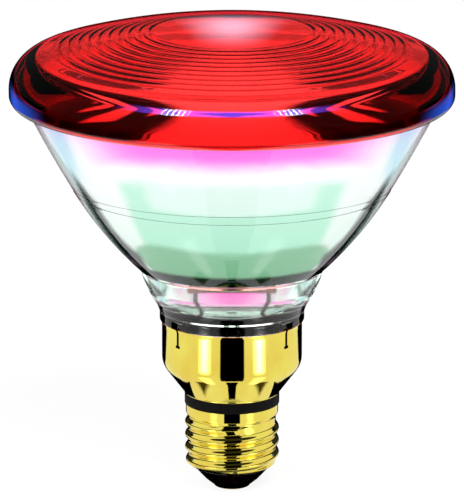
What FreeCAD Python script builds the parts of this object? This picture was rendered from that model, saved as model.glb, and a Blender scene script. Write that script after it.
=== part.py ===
import FreeCAD, Part
import math
import os
import re
import Sketcher

# Infrared heat lamp bulb: a pressed red glass lens fused to a pressed clear glass reflector, on a skirted
# brass screw base. Millimetres. +Z runs from the base to the lens, and -Y is the front.
# The origin is the middle of the centre contact's underside.

# Driving dimensions. Radii are measured from the axis of the lamp, or of the piece that the name gives.
SIZES = {
    # centre contact, its solder and the glass insulator
    "contact_radius": "5.0",
    "contact_rounding": "0.4",
    "contact_height": "0.9",
    "eyelet_radius": "1.7",
    "eyelet_height": "3.2",
    "solder_recess": "0.15",
    "solder_height": "2.2",
    "insulator_step": "0.5",
    "insulator_waist_radius": "7.6",
    "insulator_waist_height": "2.5",
    "insulator_depth": "2.6",
    "insulator_dish": "1.0",
    # brass screw shell, from its mouth upwards
    "sheet": "0.3",
    "fit_clearance": "0.03",
    "shell_bottom": "6.4",
    "shell_mouth_radius": "10.9",
    "shell_turn_in": "1.1",
    "root_radius": "12.25",
    "crest_radius": "13.15",
    "thread_pitch": "3.629",
    "thread_half_width": "1.45",
    "thread_lead": "1.8",
    "thread_turns": "3",
    "thread_start_angle": "210.6",
    "thread_wall_angle": "8",
    "thread_runout": "2.5",
    "shell_collar_radius": "12.9",
    "shell_collar_length": "2.9",
    "shell_taper": "0.9",
    "shell_lap": "2.5",
    # brass skirt, from its neck upwards
    "skirt_radius": "19.5",
    "skirt_neck_length": "2.55",
    "cone_rise": "9.0",
    "cone_bottom_bend": "2.0",
    "cone_top_bend": "6.0",
    "sleeve_height": "12.45",
    "lip_height": "0.8",
    "lip_flare": "0.35",
    # locking slits of the skirt, and the notches over them in the glass collar
    "lock_angle": "50",
    "slit_length": "5.2",
    "slit_width": "0.7",
    "slit_foot_width": "1.75",
    "slit_foot_height": "0.8",
    "notch_width": "4.0",
    "notch_depth": "1.1",
    # glass reflector outside, from its foot upwards
    "glass_clearance": "0.3",
    "foot_depth": "5.0",
    "glass_rounding": "0.5",
    "collar_lap": "0.25",
    "collar_thickness": "2.7",
    "waist_step": "0.9",
    "waist_rise": "2.4",
    "neck_flare": "4.4",
    "neck_bow": "30",
    "bowl_rise": "23.2",
    "bowl_bow": "110",
    "ledge_inset": "0.6",
    "ledge_rise": "0.2",
    "body_bow": "390",
    # glass reflector inside: a paraboloid over a deep clear well
    "mirror_focus": "12.4",
    "vertex_rise": "1.4",
    "rim_wall": "3.5",
    "bowl_wall": "3.21",
    "mirror_lip": "0.9",
    "mirror_lift": "1.7",
    "mirror_facets": "8",
    "neck_wall": "4.9",
    "well_floor": "3.0",
    "well_taper": "2.5",
    "well_corner": "9.0",
    # front lens
    "lens_radius": "61.16",
    "lens_overhang": "4.26",
    "lens_rim_width": "6.76",
    "lens_edge": "2.4",
    "rim_height": "4.1",
    "shoulder_radius": "10.1",
    "dome_radius": "192.1",
    "lens_thickness": "3.4",
    "lens_inner_corner": "5.0",
    "rib_start": "21.7",
    "rib_pitch": "2.7",
    "rib_depth": "0.6",
    "rib_margin": "0.7",
    # ferrules, braze and lead posts
    "lead_spacing": "17",
    "ferrule_radius": "3.3",
    "ferrule_wall": "0.35",
    "ferrule_drop": "5.5",
    "ferrule_embed": "1.5",
    "ferrule_rounding": "0.8",
    "braze_radius": "1.8",
    "braze_height": "0.9",
    "post_radius": "0.6",
    "post_bore_radius": "1.6",
    "post_spread": "20",
    "post_bend_drop": "3.6",
    "wire_bend": "2.0",
    # filament, its supports and their bridge, which hang on the mirror's focus
    "filament_leg": "4.0",
    "filament_bend": "2.2",
    "coil_radius": "0.9",
    "support_spacing": "8",
    "support_wire_radius": "0.25",
    "bridge_drop": "6.9",
    "bridge_thickness": "1.4",
    "bridge_width": "5",
    "bridge_margin": "2.2",
    # exhaust tube
    "tube_bore_radius": "1.5",
    "tube_wall": "1.1",
    "tube_length": "7.5",
    "tube_tip": "1.4",
    # supply leads inside the base
    "lead_radius": "0.35",
    "lead_drop": "3.0",
    "lead_run": "6.0",
    "side_lead_end": "1.0",
    "sleeve_radius": "0.85",
    "sleeve_gap": "3.0",
}

# What follows from the driving dimensions. Heights stack up from the contact's underside at 0.
DERIVED = {
    # base
    "thread_start": "shell_bottom + thread_lead",
    "shell_collar_bottom": "thread_start + thread_pitch * thread_turns + thread_runout",
    "skirt_bottom": "shell_collar_bottom + shell_collar_length",
    "shell_top": "skirt_bottom + shell_lap",
    "shell_bore": "root_radius - sheet",
    "skirt_neck_radius": "shell_collar_radius + fit_clearance + sheet",
    "cone_bottom": "skirt_bottom + skirt_neck_length",
    "cone_top": "cone_bottom + cone_rise",
    "bend_rise": "sheet * tan(atan((skirt_radius - skirt_neck_radius) / cone_rise) / 2)",
    "skirt_top": "cone_top + sleeve_height",
    "insulator_top": "shell_bottom + insulator_depth",
    "insulator_seat_radius": "shell_bore - fit_clearance",
    "insulator_mouth_radius": "shell_mouth_radius - fit_clearance",
    # reflector
    "foot_bottom": "skirt_top - foot_depth",
    "foot_radius": "skirt_radius - sheet - glass_clearance",
    "collar_radius": "skirt_radius + lip_flare + collar_lap",
    "collar_top": "skirt_top + collar_thickness",
    "waist_radius": "collar_radius + waist_step",
    "waist_height": "collar_top + waist_rise",
    "neck_radius": "waist_radius + neck_flare",
    "well_radius": "neck_radius - neck_wall",
    "well_bottom": "skirt_top + well_floor",
    "mirror_vertex": "well_bottom + vertex_rise",
    "mirror_bottom_radius": "neck_radius - mirror_lip",
    "mirror_bottom": "mirror_vertex + mirror_bottom_radius ^ 2 / (4 * mirror_focus)",
    "neck_height": "mirror_bottom - mirror_lift",
    "ledge_height": "neck_height + bowl_rise",
    "ledge_radius": "sqrt(4 * mirror_focus * (ledge_height - mirror_vertex)) + bowl_wall",
    "body_radius": "lens_radius - lens_overhang",
    "mirror_top_radius": "body_radius - rim_wall",
    "seal_height": "mirror_vertex + mirror_top_radius ^ 2 / (4 * mirror_focus)",
    # lens
    "shoulder_height": "seal_height + rim_height",
    "shoulder_centre_radius": "lens_radius - shoulder_radius",
    "dome_centre": "shoulder_height - sqrt((dome_radius - shoulder_radius) ^ 2 - shoulder_centre_radius ^ 2)",
    "tangent_share": "dome_radius / (dome_radius - shoulder_radius)",
    "shoulder_tangent_radius": "shoulder_centre_radius * tangent_share",
    "shoulder_tangent_height": "dome_centre + (shoulder_height - dome_centre) * tangent_share",
    "lens_seat_radius": "lens_radius - lens_rim_width",
    "inner_dome_radius": "dome_radius - lens_thickness",
    # inner pieces
    "ferrule_bottom": "foot_bottom - ferrule_drop",
    "post_bottom": "ferrule_bottom + ferrule_wall",
    "filament_height": "mirror_vertex + mirror_focus",
    "post_top": "filament_height - filament_leg",
    "bridge_height": "filament_height - bridge_drop",
    "post_bend_height": "bridge_height - post_bend_drop",
    "eye_radius": "coil_radius + support_wire_radius + fit_clearance",
    "tube_radius": "tube_bore_radius + tube_wall",
    "tube_bottom": "foot_bottom - tube_length",
    "tube_taper_top": "tube_bottom + 2 * tube_tip",
    "lead_meeting_height": "ferrule_bottom - lead_drop - lead_run",
    "lead_wall_radius": "shell_collar_radius - sheet - lead_radius",
}

document = FreeCAD.newDocument("heat_lamp")
sheet = document.addObject("Spreadsheet::Sheet", "Sizes")
for row, (name, number) in enumerate(SIZES.items(), start=1):
    sheet.set(f"A{row}", name)
    sheet.set(f"B{row}", number)
    sheet.setAlias(f"B{row}", name)
document.recompute()


def bound(text):
    """The expression with each size led by the sheet's name, and each derived size written out."""

    def spelled(word):
        if word[0] in SIZES:
            return f"Sizes.{word[0]}"
        return f"({bound(DERIVED[word[0]])})" if word[0] in DERIVED else word[0]

    return re.sub(r"[a-z_]+", spelled, text)


def value(text):
    """The number that an expression gives."""
    return float(sheet.evalExpression(bound(text)))


def new_body(label):
    """A body whose label names its piece."""
    body = document.addObject("PartDesign::Body", label)
    body.Label = label
    return body


def new_sketch(body, name, role="XZ_Plane", turn="0", across="0", up="0"):
    """A sketch on an origin plane of the body, turned about the vertical or shifted across and up."""
    plane = next(item for item in body.Origin.OriginFeatures if item.Role == role)
    sketch = body.newObject("Sketcher::SketchObject", name)
    sketch.AttachmentSupport = [(plane, "")]
    sketch.MapMode = "FlatFace"
    sketch.AttachmentOffset = FreeCAD.Placement(
        FreeCAD.Vector(value(across), 0, value(up)),
        FreeCAD.Rotation(FreeCAD.Vector(0, 1, 0), value(turn)),
    )
    for place, text in (("Rotation.Angle", turn), ("Base.x", across), ("Base.z", up)):
        if text != "0":
            sketch.setExpression(f"AttachmentOffset.{place}", bound(text))
    return sketch


def bind_size(sketch, kind, *places, text):
    """Adds a sketch dimension and binds it to the sheet."""
    index = sketch.addConstraint(Sketcher.Constraint(kind, *places, value(text)))
    sketch.setExpression(f"Constraints[{index}]", bound(text))


def bind_point(sketch, geometry, end, across, up):
    """Holds a point of the sketch at its two coordinates."""
    for kind, axis, text in (("DistanceX", -2, across), ("DistanceY", -1, up)):
        if text == "0":
            sketch.addConstraint(Sketcher.Constraint("PointOnObject", geometry, end, axis))
        else:
            bind_size(sketch, kind, -1, 1, geometry, end, text=text)


def arc_between(start, end, radius):
    """The flatter arc between two points: it bulges to the left of the way for a positive radius."""
    chord = end - start
    left = FreeCAD.Vector(-chord.y, chord.x, 0).normalize()
    bulge = abs(radius) - math.sqrt(radius**2 - (chord.Length / 2) ** 2)
    middle = (start + end) * 0.5 + left * math.copysign(bulge, radius)
    return Part.Arc(start, middle, end)


def rounding_points(before, corner, after, radius):
    """Where a rounded corner starts, its middle and where it ends."""
    back = (before - corner).normalize()
    onward = (after - corner).normalize()
    half = back.getAngle(onward) / 2
    run = radius / math.tan(half)
    centre = corner + (back + onward).normalize() * (radius / math.sin(half))
    return corner + back * run, centre + (corner - centre).normalize() * radius, corner + onward * run


def arc_ends(turns_left):
    """The numbers of an arc's first and last point: a sketch counts them against the clock."""
    return (1, 2) if turns_left else (2, 1)


def draw_outline(sketch, corners, closed=True):
    """Draws an outline from corners (across, up, options) and binds every size of it to the sheet.

    Options: round, the corner's rounding radius, and arc, the radius of the edge that leaves the
    corner, positive where it bulges to the left of the way.
    """
    corners = [corner if len(corner) == 3 else (*corner, {}) for corner in corners]
    points = [FreeCAD.Vector(value(across), value(up), 0) for across, up, _ in corners]
    count = len(corners)
    roundings = {
        index: rounding_points(
            points[index - 1], points[index], points[(index + 1) % count], value(options["round"])
        )
        for index, (_, _, options) in enumerate(corners)
        if "round" in options
    }

    # Each edge between two corners, with the numbers of its first and last point
    edges = []
    for index in range(count if closed else count - 1):
        following = (index + 1) % count
        start = roundings[index][2] if index in roundings else points[index]
        end = roundings[following][0] if following in roundings else points[following]
        bow = corners[index][2].get("arc")
        if bow:
            geometry = sketch.addGeometry(arc_between(start, end, value(bow)), False)
            bind_size(sketch, "Radius", geometry, text=f"abs({bow})")
            edges.append((geometry, *arc_ends(value(bow) < 0)))
        else:
            edges.append((sketch.addGeometry(Part.LineSegment(start, end), False), 1, 2))

    for index, (across, up, options) in enumerate(corners):
        arriving = edges[index - 1] if closed or index > 0 else None
        leaving = edges[index] if index < len(edges) else None
        if index in roundings:
            arc = sketch.addGeometry(Part.Arc(*roundings[index]), False)
            turn = (points[index] - points[index - 1]).cross(points[(index + 1) % count] - points[index])
            first, last = arc_ends(turn.z > 0)
            sketch.addConstraint(Sketcher.Constraint("Tangent", arriving[0], arriving[2], arc, first))
            sketch.addConstraint(Sketcher.Constraint("Tangent", arc, last, leaving[0], leaving[1]))
            bind_size(sketch, "Radius", arc, text=options["round"])
            apex = sketch.addGeometry(Part.Point(points[index]), True)
            sketch.addConstraint(Sketcher.Constraint("PointOnObject", apex, 1, arriving[0]))
            sketch.addConstraint(Sketcher.Constraint("PointOnObject", apex, 1, leaving[0]))
            bind_point(sketch, apex, 1, across, up)
            continue
        if arriving and leaving:
            sketch.addConstraint(
                Sketcher.Constraint("Coincident", arriving[0], arriving[2], leaving[0], leaving[1])
            )
        geometry, end = leaving[:2] if leaving else (arriving[0], arriving[2])
        bind_point(sketch, geometry, end, across, up)


def draw_circle(sketch, across, up, radius):
    """Draws a circle whose centre and radius are bound to the sheet."""
    centre = FreeCAD.Vector(value(across), value(up), 0)
    circle = sketch.addGeometry(Part.Circle(centre, FreeCAD.Vector(0, 0, 1), value(radius)), False)
    bind_size(sketch, "Radius", circle, text=radius)
    bind_point(sketch, circle, 3, across, up)


def add_feature(body, kind, name, sketch, cuts=False, **expressions):
    """Adds a feature on a sketch and binds its sizes. A cut has to take something away."""
    document.recompute()
    before = body.Shape.Volume if cuts else None
    feature = body.newObject(f"PartDesign::{kind}", name)
    feature.Profile = sketch
    if kind in ("Revolution", "Groove", "AdditiveHelix", "SubtractiveHelix"):
        feature.ReferenceAxis = (sketch, ["V_Axis"])
    if kind == "Pocket":
        feature.Reversed = True
    for property_name, text in expressions.items():
        feature.setExpression(property_name, bound(text))
    document.recompute()
    if cuts and not body.Shape.Volume < before:
        raise RuntimeError(f"{name} cuts nothing")
    return feature


def revolve(body, name, corners):
    """Turns an outline of (radius, height) corners round the body's axis."""
    sketch = new_sketch(body, f"{name}_outline")
    draw_outline(sketch, corners)
    return add_feature(body, "Revolution", name, sketch, Angle="360")


def turned_piece(label, corners, across="0"):
    """A piece of revolution, on the lamp's axis or at its own place across it."""
    body = new_body(label)
    revolve(body, f"{label}_turned", corners)
    if across != "0":
        body.setExpression("Placement.Base.x", bound(across))
    return body


def wire_piece(label, corners, radius):
    """A round wire along corners (across, up, options) in the XZ plane. It starts vertically."""
    body = new_body(label)
    route = new_sketch(body, f"{label}_route")
    draw_outline(route, corners, closed=False)
    section = new_sketch(body, f"{label}_section", "XY_Plane", across=corners[0][0], up=corners[0][1])
    draw_circle(section, "0", "0", radius)
    sweep = add_feature(body, "AdditivePipe", f"{label}_sweep", section)
    sweep.Spine = (route, [])
    document.recompute()
    return body


def build_front_lens():
    """Domed lens of red glass, with rings of ribs on its inner face and a rim that stands on the seal."""

    def inner_height(radius):
        return f"dome_centre + sqrt(inner_dome_radius ^ 2 - ({radius}) ^ 2)"

    room = value("lens_seat_radius - lens_inner_corner - rib_margin - rib_start")
    rib_count = int(room / value("rib_pitch"))
    ribs_end = f"rib_start + {rib_count} * rib_pitch"
    corners = [
        ("0", "dome_centre + dome_radius", {"arc": "dome_radius"}),
        ("shoulder_tangent_radius", "shoulder_tangent_height", {"arc": "shoulder_radius"}),
        ("lens_radius", "shoulder_height"),
        ("lens_radius", "seal_height", {"round": "lens_edge"}),
        ("lens_seat_radius", "seal_height"),
        ("lens_seat_radius", inner_height("lens_seat_radius"), {"round": "lens_inner_corner"}),
        (ribs_end, inner_height(ribs_end)),
    ]
    for rib in reversed(range(rib_count)):
        crest = f"rib_start + {rib + 0.5} * rib_pitch"
        corners.append((crest, f"{inner_height(crest)} - rib_depth"))
        foot = f"rib_start + {rib} * rib_pitch"
        corners.append((foot, inner_height(foot), {} if rib else {"arc": "0 - inner_dome_radius"}))
    corners.append(("0", "dome_centre + inner_dome_radius"))
    return turned_piece("front_lens", corners)


def build_reflector():
    """Pressed glass bowl: a paraboloid to be silvered, a clear neck with a deep well, and a foot."""
    corners = [
        ("tube_bore_radius", "foot_bottom"),
        ("foot_radius", "foot_bottom", {"round": "glass_rounding"}),
        ("foot_radius", "skirt_top"),
        ("collar_radius", "skirt_top", {"round": "glass_rounding"}),
        ("collar_radius", "collar_top"),
        ("waist_radius", "waist_height", {"arc": "0 - neck_bow"}),
        ("neck_radius", "neck_height", {"arc": "0 - bowl_bow"}),
        ("ledge_radius", "ledge_height"),
        ("ledge_radius - ledge_inset", "ledge_height + ledge_rise", {"arc": "0 - body_bow"}),
        ("body_radius", "seal_height"),
    ]
    for step in range(int(value("mirror_facets")), -1, -1):
        height = f"(mirror_bottom + (seal_height - mirror_bottom) * {step} / mirror_facets)"
        corners.append((f"sqrt(4 * mirror_focus * ({height} - mirror_vertex))", height))
    corners += [
        ("well_radius", "mirror_bottom"),
        ("well_radius - well_taper", "well_bottom", {"round": "well_corner"}),
        ("tube_bore_radius", "well_bottom"),
    ]
    body = new_body("reflector")
    revolve(body, "reflector_glass", corners)

    # Four notches in the collar, each over a locking slit of the skirt
    for number, turn in enumerate(f"{side} {sign} lock_angle" for side in ("90", "270") for sign in "+-"):
        notch = new_sketch(body, f"notch_outline_{number}", turn=turn)
        notch_top = "collar_top - glass_rounding"
        corners = [
            ("collar_radius - notch_depth", "skirt_top"),
            ("collar_radius + notch_depth", "skirt_top"),
            ("collar_radius + notch_depth", notch_top),
            ("collar_radius - notch_depth", notch_top),
        ]
        draw_outline(notch, corners)
        angle = "notch_width / collar_radius * 180 / pi"
        groove = add_feature(body, "Groove", f"notch_{number}", notch, cuts=True, Angle=angle)
        groove.Midplane = True

    # A bore for each lead post, and a ring groove round it that grips the ferrule's rim
    bores = new_sketch(body, "post_bores", "XY_Plane", up="foot_bottom")
    grooves = new_sketch(body, "ferrule_grooves", "XY_Plane", up="foot_bottom")
    for across in ("lead_spacing / 2", "0 - lead_spacing / 2"):
        draw_circle(bores, across, "0", "post_bore_radius")
        draw_circle(grooves, across, "0", "ferrule_radius + fit_clearance")
        draw_circle(grooves, across, "0", "ferrule_radius - ferrule_wall - fit_clearance")
    depth = "well_bottom + well_corner - foot_bottom"
    add_feature(body, "Pocket", "post_bore_cut", bores, cuts=True, Length=depth)
    add_feature(body, "Pocket", "ferrule_groove_cut", grooves, cuts=True, Length="ferrule_embed")
    return body


def build_base_skirt():
    """Drawn brass skirt: a neck over the screw shell, a cone, a sleeve and a flared lip with slits."""
    corners = [
        ("skirt_neck_radius", "skirt_bottom"),
        ("skirt_neck_radius", "cone_bottom", {"round": "cone_bottom_bend"}),
        ("skirt_radius", "cone_top", {"round": "cone_top_bend"}),
        ("skirt_radius", "skirt_top - lip_height"),
        ("skirt_radius + lip_flare", "skirt_top"),
        ("skirt_radius + lip_flare - sheet", "skirt_top"),
        ("skirt_radius - sheet", "skirt_top - lip_height"),
        ("skirt_radius - sheet", "cone_top + bend_rise", {"round": "cone_top_bend - sheet"}),
        ("skirt_neck_radius - sheet", "cone_bottom + bend_rise", {"round": "cone_bottom_bend + sheet"}),
        ("skirt_neck_radius - sheet", "skirt_bottom"),
    ]
    body = new_body("base_skirt")
    revolve(body, "skirt_sheet", corners)

    # Each cut runs right through the sleeve, so two make the four locking slits
    slit_bottom = "skirt_top - slit_length"
    foot_top = "skirt_top - slit_length + slit_foot_height"
    for number, turn in enumerate(("lock_angle", "0 - lock_angle")):
        slit = new_sketch(body, f"slit_outline_{number}", turn=turn)
        corners = [
            ("0 - slit_width / 2", "skirt_top + sheet"),
            ("0 - slit_width / 2", foot_top),
            ("0 - slit_foot_width / 2", foot_top),
            ("0 - slit_foot_width / 2", slit_bottom),
            ("slit_foot_width / 2", slit_bottom),
            ("slit_foot_width / 2", foot_top),
            ("slit_width / 2", foot_top),
            ("slit_width / 2", "skirt_top + sheet"),
        ]
        draw_outline(slit, corners)
        span = "4 * skirt_radius"
        cut = add_feature(body, "Pocket", f"slit_{number}", slit, cuts=True, Length=span)
        cut.Midplane = True
    return body


def roll_thread(body, name, kind, depth, lead_in):
    """Runs the ridge's outline along the helix, to add it outside or to cut it inside.

    depth is how far the outline lies inside the outer thread, and lead_in the angle by which it
    starts later and ends sooner, so that the hollow thread keeps a wall at its ends.
    """
    middle = f"thread_start + thread_pitch * {lead_in} / 360"
    foot = f"root_radius - sheet / 2 - {depth}"
    flank = f"(root_radius + crest_radius) / 2 - {depth}"
    crest = f"crest_radius - {depth}"
    corners = [
        (foot, f"{middle} - thread_half_width"),
        (flank, f"{middle} - thread_half_width * 2 / 3"),
        (crest, f"{middle} - thread_half_width / 3"),
        (crest, f"{middle} + thread_half_width / 3"),
        (flank, f"{middle} + thread_half_width * 2 / 3"),
        (foot, f"{middle} + thread_half_width"),
    ]
    sketch = new_sketch(body, f"{name}_outline", turn=f"thread_start_angle + {lead_in}")
    draw_outline(sketch, corners)
    helix = add_feature(
        body,
        kind,
        name,
        sketch,
        cuts=kind == "SubtractiveHelix",
        Pitch="thread_pitch",
        Height=f"thread_pitch * (thread_turns - 2 * {lead_in} / 360)",
    )
    helix.Mode = "pitch-height-angle"


def build_screw_shell():
    """Rolled brass screw shell: its sheet follows the thread inside and out."""
    corners = [
        ("shell_mouth_radius", "shell_bottom"),
        ("root_radius", "shell_bottom", {"round": "shell_turn_in"}),
        ("root_radius", "shell_collar_bottom - shell_taper"),
        ("shell_collar_radius", "shell_collar_bottom"),
        ("shell_collar_radius", "shell_top"),
        ("shell_collar_radius - sheet", "shell_top"),
        ("shell_collar_radius - sheet", "shell_collar_bottom"),
        ("shell_bore", "shell_collar_bottom - shell_taper"),
        ("shell_bore", "shell_bottom + sheet", {"round": "shell_turn_in - sheet"}),
        ("shell_mouth_radius", "shell_bottom + sheet"),
    ]
    body = new_body("screw_shell")
    revolve(body, "shell_sheet", corners)
    roll_thread(body, "thread_ridge", "AdditiveHelix", "0", "0")
    roll_thread(body, "thread_hollow", "SubtractiveHelix", "sheet", "thread_wall_angle")
    return body


def build_base_insulator():
    """Black glass cone that closes the shell and carries the centre contact."""
    inner_face = "shell_bottom + sheet + fit_clearance"
    eyelet_bore = "eyelet_radius + fit_clearance"
    lead_bore = "lead_radius + fit_clearance"
    corners = [
        (eyelet_bore, "contact_height"),
        ("contact_radius + contact_rounding / 2 + insulator_step", "contact_height"),
        ("insulator_waist_radius", "insulator_waist_height"),
        ("insulator_mouth_radius", "shell_bottom - sheet"),
        ("insulator_mouth_radius", inner_face),
        ("insulator_seat_radius", inner_face, {"round": "shell_turn_in - sheet"}),
        ("insulator_seat_radius", "insulator_top"),
        ("insulator_seat_radius / 2", "insulator_top"),
        ("sleeve_radius + fit_clearance", "insulator_top - insulator_dish"),
        (lead_bore, "insulator_top - insulator_dish"),
        (lead_bore, "eyelet_height + fit_clearance"),
        (eyelet_bore, "eyelet_height + fit_clearance"),
    ]
    return turned_piece("base_insulator", corners)


def build_centre_contact():
    """Stamped brass contact with an eyelet that grips the insulator."""
    corners = [
        ("eyelet_radius - sheet", "0"),
        ("contact_radius", "0", {"round": "contact_rounding"}),
        ("contact_radius + contact_rounding / 2", "contact_height"),
        ("eyelet_radius", "contact_height"),
        ("eyelet_radius", "eyelet_height"),
        ("eyelet_radius - sheet", "eyelet_height"),
    ]
    return turned_piece("centre_contact", corners)


def build_contact_solder():
    """Solder that fills the eyelet round the centre lead's end."""
    corners = [
        ("0", "solder_recess"),
        ("eyelet_radius - sheet", "solder_recess"),
        ("eyelet_radius - sheet", "solder_recess + solder_height"),
        ("lead_radius", "solder_recess + solder_height"),
        ("lead_radius", "solder_recess + sheet"),
        ("0", "solder_recess + sheet"),
    ]
    return turned_piece("contact_solder", corners)


def build_ferrule(label, side):
    """Thin metal thimble whose rim is sealed into the glass foot."""
    bore = "ferrule_radius - ferrule_wall"
    corners = [
        ("0", "ferrule_bottom"),
        ("ferrule_radius", "ferrule_bottom", {"round": "ferrule_rounding"}),
        ("ferrule_radius", "foot_bottom + ferrule_embed"),
        (bore, "foot_bottom + ferrule_embed"),
        (bore, "post_bottom", {"round": "ferrule_rounding - ferrule_wall"}),
        ("0", "post_bottom"),
    ]
    return turned_piece(label, corners, across=f"{side}lead_spacing / 2")


def build_braze(label, side):
    """Fillet of braze that holds the lead post in the ferrule's closed end."""
    corners = [
        ("post_radius", "post_bottom"),
        ("braze_radius", "post_bottom"),
        ("post_radius + (braze_radius - post_radius) / 4", "post_bottom + braze_height / 2"),
        ("post_radius", "post_bottom + braze_height"),
    ]
    return turned_piece(label, corners, across=f"{side}lead_spacing / 2")


def build_post(label, side):
    """Stiff lead post from the ferrule's closed end up to the filament's leg."""
    corners = [
        (f"{side}lead_spacing / 2", "post_bottom"),
        (f"{side}lead_spacing / 2", "post_bend_height - wire_bend", {"round": "wire_bend"}),
        (f"{side}post_spread / 2", "post_bend_height + wire_bend", {"round": "wire_bend"}),
        (f"{side}post_spread / 2", "post_top"),
    ]
    return wire_piece(label, corners, "post_radius")


def build_filament():
    """The tungsten coil's outer form: two legs on the posts and a run through the mirror's focus."""
    corners = [
        ("0 - post_spread / 2", "post_top"),
        ("0 - post_spread / 2", "filament_height", {"round": "filament_bend"}),
        ("post_spread / 2", "filament_height", {"round": "filament_bend"}),
        ("post_spread / 2", "post_top"),
    ]
    return wire_piece("filament", corners, "coil_radius")


def build_support(label, side):
    """Support wire that stands in the bridge and ends in an eye round the filament's coil."""
    place = f"{side}support_spacing / 2"
    eye = document.addObject("Part::Torus", f"{label}_eye")
    eye.setExpression("Radius1", bound("eye_radius"))
    eye.setExpression("Radius2", bound("support_wire_radius"))
    eye.Placement.Rotation = FreeCAD.Rotation(FreeCAD.Vector(0, 1, 0), -90)
    eye.setExpression("Placement.Base.x", bound(place))
    eye.setExpression("Placement.Base.z", bound("filament_height"))
    stem = document.addObject("Part::Cylinder", f"{label}_stem")
    stem.setExpression("Radius", bound("support_wire_radius"))
    stem.setExpression("Height", bound("bridge_drop - eye_radius"))
    stem.setExpression("Placement.Base.x", bound(place))
    stem.setExpression("Placement.Base.z", bound("bridge_height"))
    wire = document.addObject("Part::Fuse", label)
    wire.Base = eye
    wire.Tool = stem
    wire.Label = label
    document.recompute()
    return wire


def build_bridge():
    """Ceramic bar on the two posts, with holes for the posts and for the support wires."""
    body = new_body("support_bridge")
    outline = new_sketch(body, "bridge_outline", "XY_Plane", up="bridge_height")
    end = "post_spread / 2 + bridge_margin"
    rounding = {"round": "bridge_width / 3"}
    corners = [
        (end, "bridge_width / 2", rounding),
        (f"0 - ({end})", "bridge_width / 2", rounding),
        (f"0 - ({end})", "0 - bridge_width / 2", rounding),
        (end, "0 - bridge_width / 2", rounding),
    ]
    draw_outline(outline, corners)
    for side in ("", "0 - "):
        draw_circle(outline, f"{side}post_spread / 2", "0", "post_radius + fit_clearance")
        draw_circle(outline, f"{side}support_spacing / 2", "0", "support_wire_radius + fit_clearance")
    add_feature(body, "Pad", "bridge_bar", outline, Length="bridge_thickness")
    return body


def build_exhaust_tube():
    """Glass tube under the foot, drawn off to a closed tip after the lamp was filled."""
    corners = [
        ("0", "tube_bottom"),
        ("tube_wall", "tube_bottom"),
        ("tube_radius", "tube_taper_top"),
        ("tube_radius", "foot_bottom"),
        ("tube_bore_radius", "foot_bottom"),
        ("tube_bore_radius", "tube_taper_top"),
        ("0", "tube_bottom + tube_tip"),
    ]
    return turned_piece("exhaust_tube", corners)


def build_centre_lead():
    """Supply wire from one ferrule to the solder of the centre contact."""
    corners = [
        ("0 - lead_spacing / 2", "ferrule_bottom"),
        ("0 - lead_spacing / 2", "ferrule_bottom - lead_drop", {"round": "wire_bend"}),
        ("0", "lead_meeting_height", {"round": "wire_bend"}),
        ("0", "solder_recess + sheet"),
    ]
    return wire_piece("centre_lead", corners, "lead_radius")


def build_side_lead():
    """Supply wire from the other ferrule to its weld on the shell's inner wall."""
    corners = [
        ("lead_spacing / 2", "ferrule_bottom"),
        ("lead_spacing / 2", "ferrule_bottom - lead_drop", {"round": "wire_bend"}),
        ("lead_wall_radius", "lead_meeting_height", {"round": "wire_bend"}),
        ("lead_wall_radius", "shell_collar_bottom + side_lead_end"),
    ]
    return wire_piece("side_lead", corners, "lead_radius")


def build_sleeve():
    """Woven glass sleeve on the centre lead. It stands in the insulator's dish."""
    corners = [
        ("lead_radius + fit_clearance", "insulator_top - insulator_dish"),
        ("sleeve_radius", "insulator_top - insulator_dish"),
        ("sleeve_radius", "lead_meeting_height - sleeve_gap"),
        ("lead_radius + fit_clearance", "lead_meeting_height - sleeve_gap"),
    ]
    return turned_piece("insulating_sleeve", corners)


pieces = [
    build_front_lens(),
    build_reflector(),
    build_exhaust_tube(),
    build_filament(),
    build_bridge(),
    build_base_skirt(),
    build_screw_shell(),
    build_base_insulator(),
    build_centre_contact(),
    build_contact_solder(),
    build_centre_lead(),
    build_side_lead(),
    build_sleeve(),
]
for hand, side in (("left", "0 - "), ("right", "")):
    pieces.append(build_ferrule(f"ferrule_{hand}", side))
    pieces.append(build_braze(f"braze_{hand}", side))
    pieces.append(build_post(f"lead_post_{hand}", side))
    pieces.append(build_support(f"filament_support_{hand}", side))
document.recompute()

failed = [item.Name for item in document.Objects if {"Invalid", "Error"} & set(item.State)]
failed += [piece.Label for piece in pieces if piece.Shape.isNull() or not piece.Shape.isValid()]
if failed:
    raise RuntimeError(f"these objects failed: {failed}")

os.makedirs("parts", exist_ok=True)
for piece in pieces:
    piece.Shape.exportStep(f"parts/{piece.Label}.step")
    print(f"{piece.Label}: {len(piece.Shape.Solids)} solid, {piece.Shape.Volume:.1f} cubic mm")
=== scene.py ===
import logging
import math
from collections.abc import Callable, Iterable, Sequence
from dataclasses import dataclass, field
from enum import Enum
from itertools import product

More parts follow.
